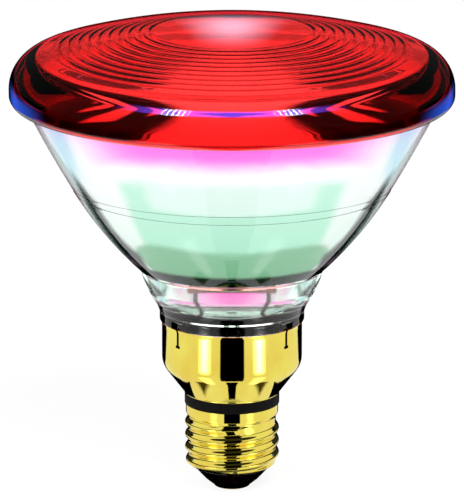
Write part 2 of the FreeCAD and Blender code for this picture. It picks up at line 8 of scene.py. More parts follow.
import bmesh
import bpy
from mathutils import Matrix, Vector


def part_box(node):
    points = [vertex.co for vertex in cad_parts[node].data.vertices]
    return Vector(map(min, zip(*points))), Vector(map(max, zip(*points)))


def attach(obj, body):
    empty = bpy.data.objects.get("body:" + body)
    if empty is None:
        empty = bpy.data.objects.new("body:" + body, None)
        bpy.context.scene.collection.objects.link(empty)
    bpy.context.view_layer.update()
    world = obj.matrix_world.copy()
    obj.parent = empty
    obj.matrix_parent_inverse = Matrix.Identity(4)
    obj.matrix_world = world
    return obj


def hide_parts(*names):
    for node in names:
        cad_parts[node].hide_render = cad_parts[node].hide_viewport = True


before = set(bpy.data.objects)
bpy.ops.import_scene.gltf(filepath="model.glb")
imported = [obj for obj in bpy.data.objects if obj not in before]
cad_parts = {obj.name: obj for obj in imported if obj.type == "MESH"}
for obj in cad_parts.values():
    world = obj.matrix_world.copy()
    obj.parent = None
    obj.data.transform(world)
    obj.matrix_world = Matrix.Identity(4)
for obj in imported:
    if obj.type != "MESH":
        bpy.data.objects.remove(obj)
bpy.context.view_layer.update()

# Looks of an infrared heat lamp bulb: ruby glass lens, silvered clear bowl and bright brass screw base.
# Sizes are millimetres from the lamp's axis and from its contact, and MM turns them to metres.
# An azimuth of 0 faces the camera, on the lamp's -Y side, and grows towards +X.

MM = 0.001
BODY = "root"
LOG = logging.getLogger("heat_lamp")

# The skirt's locking slits and the notches over them in the glass collar stand at these angles
LOCK_ANGLES = tuple(math.radians(angle) for angle in (40, 140, 220, 320))

# Edges that turn by more than this stay sharp
SHARP_ANGLE = math.radians(35)

# A rounding is drawn in pieces of so many degrees, but in at least so many pieces
PIECE_DEGREES = 9
LEAST_PIECES = 4
# A rounding takes at most this share of the stretch in which it ends
LONGEST_CUT = 0.95
# The coiled wire's section has so many sides
WIRE_SIDES = 8

MATH = "ShaderNodeMath"
VECTOR = "ShaderNodeVectorMath"
MAP_RANGE = "ShaderNodeMapRange"

Pair = tuple[float, float]
Triple = tuple[float, float, float]
Material = bpy.types.Material
Node = bpy.types.Node
Object = bpy.types.Object
Sockets = bpy.types.bpy_prop_collection
Tree = bpy.types.NodeTree


def colour(code: str) -> tuple[float, float, float, float]:
    """Turns an sRGB hex colour to linear.

    Args:
        code: Six hex digits, such as "f0dc60".

    Returns:
        Linear red, green and blue, with an alpha of 1.
    """
    shares = [int(code[place : place + 2], 16) / 255 for place in (0, 2, 4)]
    linear = [share / 12.92 if share <= 0.04045 else ((share + 0.055) / 1.055) ** 2.4 for share in shares]
    return (*linear, 1.0)


def add_node(tree: Tree, kind: str, inputs: dict | None = None, **settings) -> Node:
    """Adds a node with its settings and links.

    Args:
        tree: The node tree that gets it.
        kind: Blender's name for the node's type.
        inputs: A value, a socket, or a node whose first output it takes, for each input by name or number.
        settings: Properties of the node itself.

    Returns:
        The new node.
    """
    node = tree.nodes.new(kind)
    for name, setting in settings.items():
        setattr(node, name, setting)
    for key, source in (inputs or {}).items():
        if isinstance(source, Node):
            source = source.outputs[0]
        if isinstance(source, bpy.types.NodeSocket):
            tree.links.new(source, node.inputs[key])
        else:
            node.inputs[key].default_value = source
    return node


def new_material(name: str) -> tuple[Material, Tree]:
    """Makes a material with an empty node tree.

    Args:
        name: Its name.

    Returns:
        The material and its tree.
    """
    made = bpy.data.materials.new(name)
    made.use_nodes = True
    made.node_tree.nodes.clear()
    return made, made.node_tree


def add_object(name: str, data: bpy.types.ID) -> Object:
    """Puts a mesh, curve, light or camera into the scene.

    Args:
        name: The object's name.
        data: What it shows.

    Returns:
        The new object.
    """
    made = bpy.data.objects.new(name, data)
    bpy.context.scene.collection.objects.link(made)
    return made


def heights(node: str) -> Pair:
    """The lowest and highest point of a CAD node, in millimetres."""
    low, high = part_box(node)
    return low.z / MM, high.z / MM


# Outlines


@dataclass(frozen=True)
class Corner:
    """A corner of an outline, with the radius of its rounding and the bow of the edge that leaves it."""

    radius: float
    height: float
    rounding: float = 0.0
    bow: float = 0.0


def edge_points(start: Vector, end: Vector, bow: float, step: float) -> list[Vector]:
    """Walks a straight or bowed edge.

    Args:
        start: Its first point.
        end: Its last point.
        bow: The arc's radius, positive where it bulges to the left of the way, and 0 for a straight edge.
        step: The longest way from one point to the next.

    Returns:
        The points with both ends.
    """
    chord = end - start
    count = max(1, math.ceil(chord.length / step))
    if not bow:
        return [start.lerp(end, index / count) for index in range(count + 1)]
    half = math.asin(chord.length / 2 / abs(bow))
    left = Vector((-chord.y, chord.x)).normalized()
    centre = (start + end) / 2 - left * math.copysign(abs(bow) * math.cos(half), bow)
    first = math.atan2(start.y - centre.y, start.x - centre.x)
    turn = -math.copysign(2 * half, bow) / count
    ways = [first + turn * index for index in range(count + 1)]
    return [centre + abs(bow) * Vector((math.cos(way), math.sin(way))) for way in ways]


def cut_back(points: list[Vector], run: float) -> list[Vector]:
    """Takes the first stretch off an edge.

    Args:
        points: The edge's points.
        run: The length of the stretch.

    Returns:
        The points that are left, and a new first one.
    """
    rest = list(points)
    while len(rest) > 2 and (rest[1] - rest[0]).length < run:
        run -= (rest[1] - rest[0]).length
        rest.pop(0)
    way = rest[1] - rest[0]
    rest[0] = rest[0] + way.normalized() * min(run, way.length * LONGEST_CUT)
    return rest


def outline(corners: Sequence[Corner], step: float, closed: bool = True) -> list[Pair]:
    """Samples an outline with its bows and rounded corners.

    Args:
        corners: The corners in order.
        step: The longest way from one point to the next on an edge.
        closed: Whether the last corner joins the first.

    Returns:
        The points (radius, height).
    """
    places = [Vector((corner.radius, corner.height)) for corner in corners]
    count = len(corners) if closed else len(corners) - 1
    edges = [
        edge_points(places[index], places[(index + 1) % len(places)], corners[index].bow, step)
        for index in range(count)
    ]
    roundings: dict[int, list[Vector]] = {}
    for index, corner in enumerate(corners):
        if not corner.rounding:
            continue
        before, after = edges[index - 1], edges[index]
        arriving = (before[-1] - before[-2]).normalized()
        leaving = (after[1] - after[0]).normalized()
        turn = arriving.angle(leaving)
        run = corner.rounding * math.tan(turn / 2)
        edges[index - 1] = cut_back(before[::-1], run)[::-1]
        edges[index] = cut_back(after, run)
        start, end = edges[index - 1][-1], edges[index][0]
        # A cubic curve with handles of this length comes nearest to the arc
        handle = corner.rounding * math.tan(turn / 4) * 4 / 3
        first, second = start + arriving * handle, end - leaving * handle
        pieces = max(LEAST_PIECES, math.ceil(math.degrees(turn) / PIECE_DEGREES))
        roundings[index] = [
            (1 - t) ** 3 * start + 3 * (1 - t) ** 2 * t * first + 3 * (1 - t) * t**2 * second + t**3 * end
            for t in (piece / pieces for piece in range(pieces))
        ]
    walk = [place for index, edge in enumerate(edges) for place in roundings.get(index, []) + edge[:-1]]
    if not closed:
        walk.append(edges[-1][-1])
    return [(place.x, place.y) for place in walk]


def apart(angle: float, others: Iterable[float]) -> float:
    """How far an angle is from the nearest of the others, in radians, and infinity without any."""
    return min((abs((angle - other + math.pi) % math.tau - math.pi) for other in others), default=math.inf)


def flanks(widths: Iterable[float]) -> list[float]:
    """The angles that stand these widths away from each locking angle, on both sides."""
    return [angle + side * width for width in widths for angle in LOCK_ANGLES for side in (-1, 1)]


def even_angles(count: int, extra: Iterable[float] = ()) -> list[float]:
    """Spreads angles round the axis, with extra ones that take the place of near ones.

    Args:
        count: How many a full turn has without the extra ones.
        extra: The extra ones, in radians.

    Returns:
        The angles in order, in radians.
    """
    added = [angle % math.tau for angle in extra]
    evenly = (math.tau * index / count for index in range(count))
    return sorted([angle for angle in evenly if apart(angle, added) > math.pi / count] + added)


# Meshes


def new_piece(name: str, vertices: list[Triple], faces: list[list[int]]) -> Object:
    """Makes a closed piece with smooth faces that point outwards.

    Args:
        name: The piece's name.
        vertices: Its points, in metres.
        faces: Point numbers of each face.

    Returns:
        The new object, in the scene.
    """
    mesh = bpy.data.meshes.new(name)
    mesh.from_pydata(vertices, [], faces)
    work = bmesh.new()
    work.from_mesh(mesh)
    bmesh.ops.delete(work, geom=[vertex for vertex in work.verts if not vertex.link_faces], context="VERTS")
    bmesh.ops.recalc_face_normals(work, faces=work.faces)
    work.to_mesh(mesh)
    work.free()
    mesh.shade_smooth()
    mesh.set_sharp_from_angle(angle=SHARP_ANGLE)
    return add_object(name, mesh)


def turned_piece(
    name: str,
    points: Sequence[Pair],
    angles: Sequence[float],
    closed: bool = True,
    radius_rule: Callable[[float, float, float], float] | None = None,
) -> Object:
    """Turns an outline round the lamp's axis.

    Args:
        name: The piece's name.
        points: The outline's (radius, height). An open one starts and ends on the axis.
        angles: Where the outline is repeated, in radians.
        closed: Whether the outline's last point joins its first.
        radius_rule: Gives a point's own radius from its radius, height and angle.

    Returns:
        The piece.
    """
    vertices, rings = [], []
    for radius, height in points:
        start = len(vertices)
        if radius < MM:
            vertices.append((0.0, 0.0, height * MM))
            rings.append([start] * len(angles))
            continue
        for angle in angles:
            own = radius_rule(radius, height, angle) if radius_rule else radius
            vertices.append((own * math.cos(angle) * MM, own * math.sin(angle) * MM, height * MM))
        rings.append(list(range(start, start + len(angles))))
    faces = []
    for ring, follower in zip(rings, rings[1:] + (rings[:1] if closed else [])):
        for here in range(len(angles)):
            there = (here + 1) % len(angles)
            corners = dict.fromkeys((ring[here], ring[there], follower[there], follower[here]))
            if len(corners) > 2:
                faces.append(list(corners))
    return new_piece(name, vertices, faces)


def sheet_piece(
    name: str,
    walk: Sequence[Pair],
    thickness: float,
    angles: Sequence[float],
    is_open: Callable[[float, float], bool],
) -> Object:
    """Turns a sheet of metal round the lamp's axis and leaves windows in it.

    Args:
        name: The piece's name.
        walk: The outer face's (radius, height), upwards.
        thickness: The sheet's thickness.
        angles: Where the walk is repeated, in radians.
        is_open: Tells from a cell's middle height and angle whether it is cut away.

    Returns:
        The piece.
    """
    outer = [Vector(place) for place in walk]
    inner = []
    for index, place in enumerate(outer):
        way = outer[min(index + 1, len(outer) - 1)] - outer[max(index - 1, 0)]
        inner.append(place - Vector((way.y, -way.x)).normalized() * thickness)
    rows, columns = len(outer), len(angles)
    vertices = [
        (place.x * math.cos(angle) * MM, place.x * math.sin(angle) * MM, place.y * MM)
        for place in outer + inner
        for angle in angles
    ]
    onward = angles[1:] + angles[:1]
    middles = [here + (there - here) % math.tau / 2 for here, there in zip(angles, onward)]
    kept = {
        (row, column)
        for row, column in product(range(rows - 1), range(columns))
        if not is_open((outer[row].y + outer[row + 1].y) / 2, middles[column])
    }
    faces = []
    for row, column in sorted(kept):
        there = (column + 1) % columns
        ring = [row * columns + column, row * columns + there]
        ring += [(row + 1) * columns + there, (row + 1) * columns + column]
        back = [number + rows * columns for number in ring]
        faces += [ring, back[::-1]]
        neighbours = ((row - 1, column), (row, there), (row + 1, column), (row, (column - 1) % columns))
        for side, neighbour in enumerate(neighbours):
            if neighbour not in kept:
                after = (side + 1) % len(ring)
                faces.append([ring[after], ring[side], back[side], back[after]])
    return new_piece(name, vertices, faces)


# Finishes


@dataclass(frozen=True)
class Finish:
    """A real material and how its surface was made."""

    name: str
    tint: str
    roughness: float = 0.3
    metallic: float = 0.0
    transmission: float = 0.0
    ior: float = 1.5
    specular: float = 0.5
    spread: Pair = (0.7, 1.4)

    def material(self) -> Material:
        """The finish's material, built when a piece first asks for it."""
        return bpy.data.materials.get(self.name) or self.build()

    def build(self) -> Material:
        """Builds the material, with this finish's own pattern on it.

        Returns:
            The material.
        """
        made, tree = new_material(self.name)
        plain = {
            "Base Color": colour(self.tint),
            "Roughness": self.roughness,
            "Metallic": self.metallic,
            "Transmission Weight": self.transmission,
            "IOR": self.ior,
            "Specular IOR Level": self.specular,
        }
        shader = add_node(tree, "ShaderNodeBsdfPrincipled", plain | self.pattern(tree))
        add_node(tree, "ShaderNodeOutputMaterial", {"Surface": shader} | self.inside(tree))
        return made

    def pattern(self, tree: Tree) -> dict[str, Node]:
        """What feeds the shader's inputs. The plain finish has no pattern."""
        return {}

    def inside(self, tree: Tree) -> dict[str, Node]:
        """What fills the piece. Most finishes have nothing there."""
        return {}

    def grains(self, tree: Tree, sizes: Sequence[float], detail: float = 2.0) -> Node:
        """Adds noise whose grains have real sizes.

        Args:
            tree: The material's tree.
            sizes: A grain's millimetres along X, Y and Z.
            detail: How many finer layers it has.

        Returns:
            The node that gives the noise.
        """
        place = add_node(tree, "ShaderNodeTexCoord").outputs["Object"]
        scale = [1 / (size * MM) for size in sizes]
        laid = add_node(tree, "ShaderNodeMapping", {"Vector": place, "Scale": scale})
        return add_node(tree, "ShaderNodeTexNoise", {"Vector": laid, "Scale": 1.0, "Detail": detail})

    def climb(self, tree: Tree, low: float, high: float) -> Node:
        """Adds a factor that climbs with the height on the lamp.

        Args:
            tree: The material's tree.
            low: The height where it is 0, in millimetres.
            high: The height where it is 1.

        Returns:
            The node that gives the factor.
        """
        place = add_node(tree, "ShaderNodeTexCoord").outputs["Object"]
        height = add_node(tree, "ShaderNodeSeparateXYZ", {0: place}).outputs[2]
        return add_node(tree, MAP_RANGE, {"Value": height, "From Min": low * MM, "From Max": high * MM})

    def tones(self, tree: Tree, factor: Node, *stops: tuple[float, str]) -> Node:
        """Colours a pattern.

        Args:
            tree: The material's tree.
            factor: The pattern.
            stops: Places along the factor, each with its sRGB hex colour.

        Returns:
            The node that gives the colour.
        """
        node = add_node(tree, "ShaderNodeValToRGB", {0: factor})
        elements = node.color_ramp.elements
        while len(elements) < len(stops):
            elements.new(0.5)
        for element, (place, code) in zip(elements, stops):
            element.position = place
            element.color = colour(code)
        return node

    def gloss(self, tree: Tree, factor: Node) -> Node:
        """Roughness that follows a pattern, spread about the finish's own."""
        low, high = (min(1.0, self.roughness * share) for share in self.spread)
        return add_node(tree, MAP_RANGE, {"Value": factor, "To Min": low, "To Max": high})

    def relief(self, tree: Tree, height: Node, depth: float) -> Node:
        """Lets a pattern show as bump, as deep as depth in millimetres."""
        return add_node(tree, "ShaderNodeBump", {"Height": height, "Distance": depth * MM, "Strength": 1.0})


@dataclass(frozen=True)
class RubyGlass(Finish):
    """Pressed ruby glass: deep red where it is thick, with the slight waves of a pressed face."""

    absorbed: str = "e80a06"
    density: float = 480.0
    wave: Triple = (14, 14, 14)
    wave_depth: float = 0.02

    def pattern(self, tree: Tree) -> dict[str, Node]:
        """A slow wave on the surface."""
        return {"Normal": self.relief(tree, self.grains(tree, self.wave), self.wave_depth)}

    def inside(self, tree: Tree) -> dict[str, Node]:
        """Absorption by depth."""
        red = {"Color": colour(self.absorbed), "Density": self.density}
        return {"Volume": add_node(tree, "ShaderNodeVolumeAbsorption", red)}


@dataclass(frozen=True)
class ClearGlass(Finish):
    """Clear glass with a slight cast that changes with the height, and slow waves on its faces."""

    low: float = 0.0
    high: float = 1.0
    stops: tuple[tuple[float, str], ...] = ()
    wave: Triple = (12, 12, 16)
    wave_depth: float = 0.02

    def pattern(self, tree: Tree) -> dict[str, Node]:
        """The cast by height, and the waves.

        Args:
            tree: The material's tree.

        Returns:
            What feeds the shader's inputs.
        """
        cast = self.tones(tree, self.climb(tree, self.low, self.high), *self.stops)
        waves = self.relief(tree, self.grains(tree, self.wave), self.wave_depth)
        return {"Base Color": cast, "Normal": waves}


@dataclass(frozen=True)
class Silvering(Finish):
    """Evaporated aluminium on pressed glass: bright with faint clouds, dark green at its lower edge."""

    edge: Pair = (0.0, 1.0)
    dark_edge: str = "0c2a1e"
    dark_edge_share: float = 0.7
    spread: Pair = (0.5, 1.6)
    cloud: Triple = (9, 9, 9)
    cloud_detail: float = 4.0
    wave: Triple = (10, 10, 10)
    wave_depth: float = 0.02

    def pattern(self, tree: Tree) -> dict[str, Node]:
        """The dark lower edge, clouds in the gloss and the glass's own slow waves.

        Args:
            tree: The material's tree.

        Returns:
            What feeds the shader's inputs.
        """
        dark_edge = ((0.0, self.dark_edge), (self.dark_edge_share, self.dark_edge), (1.0, self.tint))
        return {
            "Base Color": self.tones(tree, self.climb(tree, *self.edge), *dark_edge),
            "Roughness": self.gloss(tree, self.grains(tree, self.cloud, self.cloud_detail)),
            "Normal": self.relief(tree, self.grains(tree, self.wave), self.wave_depth),
        }


@dataclass(frozen=True)
class DrawnBrass(Finish):
    """Bright drawn brass sheet: mirror-like with fine upright drawing lines and warmer clouds."""

    warm: str = "e8c04a"
    places: Pair = (0.35, 0.72)
    spread: Pair = (0.6, 1.5)
    cloud: Triple = (7, 7, 10)
    cloud_detail: float = 3.0
    line: Triple = (0.25, 0.25, 9)
    line_depth: float = 0.0012

    def pattern(self, tree: Tree) -> dict[str, Node]:
        """Clouds of tarnish in the colour, and drawing lines, drawn as coarse as they need to show.

        Args:
            tree: The material's tree.

        Returns:
            What feeds the shader's inputs.
        """
        clouds = self.grains(tree, self.cloud, self.cloud_detail)
        lines = self.grains(tree, self.line)
        return {
            "Base Color": self.tones(tree, clouds, *zip(self.places, (self.tint, self.warm))),
            "Roughness": self.gloss(tree, lines),
            "Normal": self.relief(tree, lines, self.line_depth),
        }


@dataclass(frozen=True)
class PouredGlass(Finish):
    """Poured black glass: glossy, with the flow marks and pits of a face that never met a mould."""

    brown: str = "0e0301"
    places: Pair = (0.4, 0.75)
    flow: Triple = (2.5, 2.5, 0.8)
    flow_detail: float = 4.0
    flow_depth: float = 0.03

    def pattern(self, tree: Tree) -> dict[str, Node]:
        """Flow marks in colour and height.

        Args:
            tree: The material's tree.

        Returns:
            What feeds the shader's inputs.
        """
        flow = self.grains(tree, self.flow, self.flow_detail)
        tone = self.tones(tree, flow, *zip(self.places, (self.tint, self.brown)))
        return {"Base Color": tone, "Normal": self.relief(tree, flow, self.flow_depth)}


@dataclass(frozen=True)
class Grained(Finish):
    """A finish of grains in two tones, which also make its surface uneven, such as solder or ceramic."""

    second: str = "808080"
    places: Pair = (0.35, 0.7)
    grain: Triple = (0.4, 0.4, 0.4)
    grain_detail: float = 3.0
    depth: float = 0.02

    def pattern(self, tree: Tree) -> dict[str, Node]:
        """Grains in colour, gloss and height.

        Args:
            tree: The material's tree.

        Returns:
            What feeds the shader's inputs.
        """
        grains = self.grains(tree, self.grain, self.grain_detail)
        return {
            "Base Color": self.tones(tree, grains, *zip(self.places, (self.tint, self.second))),
            "Roughness": self.gloss(tree, grains),
            "Normal": self.relief(tree, grains, self.depth),
        }


@dataclass(frozen=True)
class Braided(Finish):
    """Braided glass yarn: pale, with yarns that cross on the slant."""

    yarn: float = 0.5
    gap: str = "8c8266"
    places: Pair = (0.2, 0.8)
    tilt: float = 0.8
    slant: float = 0.7
    yarn_depth: float = 0.08

    def pattern(self, tree: Tree) -> dict[str, Node]:
        """Two sets of slanting yarns in colour and height.

        Args:
            tree: The material's tree.

        Returns:
            What feeds the shader's inputs.
        """
        place = add_node(tree, "ShaderNodeTexCoord").outputs["Object"]
        waves = []
        for lean in (self.slant, -self.slant):
            lie = {"Vector": place, "Rotation": (self.tilt, lean, lean)}
            turned = add_node(tree, "ShaderNodeMapping", lie)
            # A wave of scale 1 repeats about every 0.3 units
            wave = {"Vector": turned, "Scale": 0.3 / (self.yarn * MM)}
            waves.append(add_node(tree, "ShaderNodeTexWave", wave).outputs["Fac"])
        both = add_node(tree, MATH, {0: waves[0], 1: waves[1]}, operation="MAXIMUM")
        tone = self.tones(tree, both, *zip(self.places, (self.gap, self.tint)))
        return {"Base Color": tone, "Normal": self.relief(tree, both, self.yarn_depth)}


# Ruby glass takes almost all green and blue, so that 4 mm of it look a full red and the thick rim black
RUBY = RubyGlass("pressed_ruby_glass", "ffffff", roughness=0.01, transmission=1.0, ior=1.52)
# The lens sits on the bowl with a dark frit; its black band through the rim is partly painted shade
FRIT_AND_SHADE = Grained("sealing_frit_and_painted_shade", "0c0304", roughness=0.7, second="160607", specular=0.1)
# Borosilicate glass has a lower index than window glass. It shows its green where it is thick. The pink at
# its top is painted light, standing in for the red glow that the lens throws into it
BOWL = ClearGlass(
    "pressed_borosilicate_glass",
    "ffffff",
    roughness=0.01,
    transmission=1.0,
    ior=1.47,
    low=50.0,
    high=110.0,
    # The pink of the last two stops is painted light from the red lens
    stops=((0.0, "e8f8f0"), (0.3, "dcf5e8"), (0.6, "f2fcf8"),
           (0.82, "fbffff"), (0.94, "fff0ff"), (1.0, "fbc8f4")),
)
# Drawn tube has lower waves than pressed glass, and a faint grey-green cast
TUBE = ClearGlass("drawn_glass_tube", "ffffff", roughness=0.03, transmission=1.0, low=36.0, high=44.0,
                  stops=((0.0, "d8e6dc"), (1.0, "eef6f0")), wave_depth=0.01)
# The plunger leaves the inside of the neck matt, which blurs what stands in it
NECK = ClearGlass("matt_pressed_glass", "eefaf4", roughness=0.12, transmission=1.0, ior=1.47, low=50.0,
                  high=66.0, stops=((0.0, "e4f6ee"), (1.0, "f4fcf8")))
# The foot is set in the skirt with black basing cement, which shows through the glass of the collar; its
# black is also painted shade, standing in for the dark inside the skirt
CEMENT_AND_SHADE = Grained("basing_cement_and_painted_shade", "060504", roughness=0.9, second="0e0c0a", specular=0.05, depth=0.03)
# The mirror film is as bright as polished aluminium, a little cool
MIRROR = Silvering("evaporated_aluminium_mirror", "f6f8f7", roughness=0.05, metallic=1.0, edge=(65.0, 69.0))
# Base brass is polished and lacquered, so it stays a clear golden yellow
BRASS = DrawnBrass("bright_drawn_brass", "f8e968", roughness=0.035, metallic=1.0, warm="f2d456")
# The crimp that holds skirt and shell together is sealed with a thin, dull black lacquer, which also
# stands in as painted shade for the dark that the concave neck reflects
CRIMP_AND_SHADE = Grained("crimp_lacquer_and_painted_shade", "050404", roughness=0.6, second="0a0807", specular=0.1,
                grain=(1.5, 1.5, 0.6), depth=0.01)
# The insulator's glass is poured round the contact, and shows brown only where light grazes it
BLACK = PouredGlass("poured_black_glass", "030101", roughness=0.05, ior=1.52)
# Solder freezes with a dull, slightly frosted skin
SOLDER = Grained("frozen_tin_solder", "b4b4b8", roughness=0.35, metallic=1.0, second="8e8e94", depth=0.05)
# Nickel-iron wire and ferrules are satin, with a thin brown oxide from the sealing flame
NICKEL_IRON = Grained("sealed_nickel_iron", "a7a19a", roughness=0.3, metallic=1.0, second="7c6f62",
                      grain=(0.6, 0.6, 1.5), depth=0.008)
# Braze is dull yellow, with a ripple where it froze
BRAZE = Grained("frozen_braze", "c9a765", roughness=0.4, metallic=1.0, second="8f7340", depth=0.04)
# Drawn tungsten is dark grey, with fine die lines
TUNGSTEN = Grained("drawn_tungsten_wire", "5c5c60", roughness=0.35, metallic=1.0, second="3c3c40",
                   grain=(0.1, 0.1, 0.4), depth=0.004)
# Steatite is a matt cream ceramic with a fine pressed grain
STEATITE = Grained("pressed_steatite", "ece4d2", roughness=0.65, second="d6cab2", ior=1.58,
                   grain=(0.35, 0.35, 0.35))
# Braided glass yarn is off-white and matt, with dark gaps between the yarns
SLEEVING = Braided("braided_glass_sleeving", "e9e4d4", roughness=0.8)


# Rules that shape pieces


class RuleTree:
    """A geometry tree with named sizes, whose result becomes a piece's plain mesh."""

    def __init__(self, name: str, sizes: dict[str, float]) -> None:
        """Builds the tree.

        Args:
            name: The tree's name.
            sizes: Its named inputs, lengths in metres.
        """
        self.sizes = sizes
        self.tree = bpy.data.node_groups.new(name, "GeometryNodeTree")
        faces = self.tree.interface
        faces.new_socket("Geometry", in_out="INPUT", socket_type="NodeSocketGeometry")
        for size in sizes:
            faces.new_socket(size, in_out="INPUT", socket_type="NodeSocketFloat")
        faces.new_socket("Material", in_out="INPUT", socket_type="NodeSocketMaterial")
        faces.new_socket("Geometry", in_out="OUTPUT", socket_type="NodeSocketGeometry")
        entry = self.node("NodeGroupInput").outputs
        real = self.node("GeometryNodeRealizeInstances", {0: self.grow(entry)})
        dressed = self.node("GeometryNodeSetMaterial", {0: real, "Material": entry["Material"]})
        self.node("NodeGroupOutput", {0: dressed})

    def node(self, kind: str, inputs: dict | None = None, **settings) -> Node:
        """Adds a node to this tree, as add_node does."""
        return add_node(self.tree, kind, inputs, **settings)

    def grow(self, sizes: Sockets) -> Node:
        """Builds the rule on the tree's inputs, and returns the node that gives its geometry."""
        raise NotImplementedError

    def bake(self, piece: Object, finish: Finish) -> Object:
        """Turns the tree's result on a piece into a plain mesh.

        Args:
            piece: A mesh or curve object, which it takes the place of.
            finish: What the tree sets on the result.

        Returns:
            The baked piece, under the same name.
        """
        name = piece.name
        modifier = piece.modifiers.new("rule", "NODES")
        modifier.node_group = self.tree
        values = self.sizes | {"Material": finish.material()}
        for item in self.tree.interface.items_tree:
            if item.in_out == "INPUT" and item.name in values:
                modifier[item.identifier] = values[item.name]
        graph = bpy.context.evaluated_depsgraph_get()
        mesh = bpy.data.meshes.new_from_object(piece.evaluated_get(graph), depsgraph=graph)
        piece.modifiers.remove(modifier)
        bpy.data.objects.remove(piece)
        mesh.name = name
        return add_object(name, mesh)


class RibTree(RuleTree):
    """Rings of ribs: points of the ribbed face move down by a rule of their radius."""

    def grow(self, sizes: Sockets) -> Node:
        """Moves each point down by a round rib's height at its radius.

        Args:
            sizes: The tree's inputs.

        Returns:
            The node that gives the geometry.
        """
        position = self.node("GeometryNodeInputPosition")
        flat = self.node(VECTOR, {0: position, 1: (1, 1, 0)}, operation="MULTIPLY")
        radius = self.node(VECTOR, {0: flat}, operation="LENGTH").outputs["Value"]
        reach = {"From Min": sizes["Start"], "From Max": sizes["End"], "To Max": sizes["Count"]}
        along = self.node(MAP_RANGE, reach | {"Value": radius})
        share = self.node(MATH, {0: along}, operation="FRACT")
        rest = self.node(MATH, {0: 1.0, 1: share}, operation="SUBTRACT")
        bump = self.node(MATH, {0: share, 1: rest}, operation="MULTIPLY")
        ribbed = self.node("GeometryNodeInputNamedAttribute", {"Name": "ribbed"}, data_type="FLOAT")
        depth = self.node(MATH, {0: ribbed, 1: sizes["Depth"]}, operation="MULTIPLY")
        drop = self.node(MATH, {0: bump, 1: depth}, operation="MULTIPLY")
        # The product of share and rest reaches a quarter at a rib's middle, hence the 4
        way = self.node(VECTOR, {0: (0, 0, -4), "Scale": drop}, operation="SCALE")
        return self.node("GeometryNodeSetPosition", {"Geometry": sizes["Geometry"], "Offset": way})


class ThreadTree(RuleTree):
    """A round thread: points move outwards by a rule of their height and their angle."""

    def grow(self, sizes: Sockets) -> Node:
        """Moves each point out by the ridge's height there, which fades in and out at the thread's ends.

        Args:
            sizes: The tree's inputs.

        Returns:
            The node that gives the geometry.
        """
        position = self.node("GeometryNodeInputPosition")
        place = self.node("ShaderNodeSeparateXYZ", {0: position}).outputs
        angle = self.node(MATH, {0: place[1], 1: place[0]}, operation="ARCTAN2")
        past = self.node(MATH, {0: angle, 1: sizes["Start angle"]}, operation="SUBTRACT")
        turned = self.node(MATH, {0: past, 1: math.tau}, operation="DIVIDE")
        share = self.node(MATH, {0: turned}, operation="FRACT")
        rise = self.node(MATH, {0: place[2], 1: sizes["Start"]}, operation="SUBTRACT")
        climbed = self.node(MATH, {0: rise, 1: sizes["Pitch"]}, operation="DIVIDE")
        lead = self.node(MATH, {0: climbed, 1: share}, operation="SUBTRACT")
        turn = self.node(MATH, {0: lead}, operation="ROUND")
        phase = self.node(MATH, {0: lead, 1: math.tau}, operation="MULTIPLY")
        wave = self.node(MATH, {0: phase}, operation="COSINE")
        ridge = self.node(MATH, {0: wave, 1: 0.5, 2: 0.5}, operation="MULTIPLY_ADD")
        begun = self.node(MATH, {0: turn, 1: share}, operation="ADD")
        left = self.node(MATH, {0: sizes["Turns"], 1: begun}, operation="SUBTRACT")
        for distance in (begun, left):
            reach = {"Value": distance, "From Min": sizes["Fade from"], "From Max": sizes["Fade to"]}
            fade = self.node(MAP_RANGE, reach, interpolation_type="SMOOTHSTEP")
            ridge = self.node(MATH, {0: ridge, 1: fade}, operation="MULTIPLY")
        flat = self.node(VECTOR, {0: position, 1: (1, 1, 0)}, operation="MULTIPLY")
        outward = self.node(VECTOR, {0: flat}, operation="NORMALIZE")
        height = self.node(MATH, {0: ridge, 1: sizes["Height"]}, operation="MULTIPLY")
        offset = self.node(VECTOR, {0: outward, "Scale": height}, operation="SCALE")
        return self.node("GeometryNodeSetPosition", {"Geometry": sizes["Geometry"], "Offset": offset})


class CoilTree(RuleTree):
    """A wire wound round a curve."""

    def grow(self, sizes: Sockets) -> Node:
        """Resamples the curve, winds its points round it and sweeps the wire's section along them.

        Args:
            sizes: The tree's inputs.

        Returns:
            The node that gives the geometry.
        """
        length = self.node("GeometryNodeCurveLength", {0: sizes["Geometry"]})
        pitches = self.node(MATH, {0: length, 1: sizes["Pitch"]}, operation="DIVIDE")
        turns = self.node(MATH, {0: pitches}, operation="ROUND")
        count = self.node(MATH, {0: turns, 1: sizes["Points a turn"]}, operation="MULTIPLY")
        even = self.node("GeometryNodeResampleCurve", {"Curve": sizes["Geometry"], "Count": count})
        share = self.node("GeometryNodeSplineParameter").outputs["Factor"]
        wound = self.node(MATH, {0: share, 1: turns}, operation="MULTIPLY")
        angle = self.node(MATH, {0: wound, 1: math.tau}, operation="MULTIPLY")
        normal = self.node("GeometryNodeInputNormal")
        tangent = self.node("GeometryNodeInputTangent")
        side = self.node(VECTOR, {0: tangent, 1: normal}, operation="CROSS_PRODUCT")
        ways = []
        for wave, direction in (("COSINE", normal), ("SINE", side)):
            swing = self.node(MATH, {0: angle}, operation=wave)
            reach = self.node(MATH, {0: swing, 1: sizes["Radius"]}, operation="MULTIPLY")
            ways.append(self.node(VECTOR, {0: direction, "Scale": reach}, operation="SCALE"))
        offset = self.node(VECTOR, dict(enumerate(ways)), operation="ADD")
        coil = self.node("GeometryNodeSetPosition", {"Geometry": even, "Offset": offset})
        ring = {"Resolution": WIRE_SIDES, "Radius": sizes["Wire radius"]}
        section = self.node("GeometryNodeCurvePrimitiveCircle", ring)
        sweep = {"Curve": coil, "Profile Curve": section, "Fill Caps": True}
        return self.node("GeometryNodeSetShadeSmooth", {0: self.node("GeometryNodeCurveToMesh", sweep)})


# Sub-assemblies


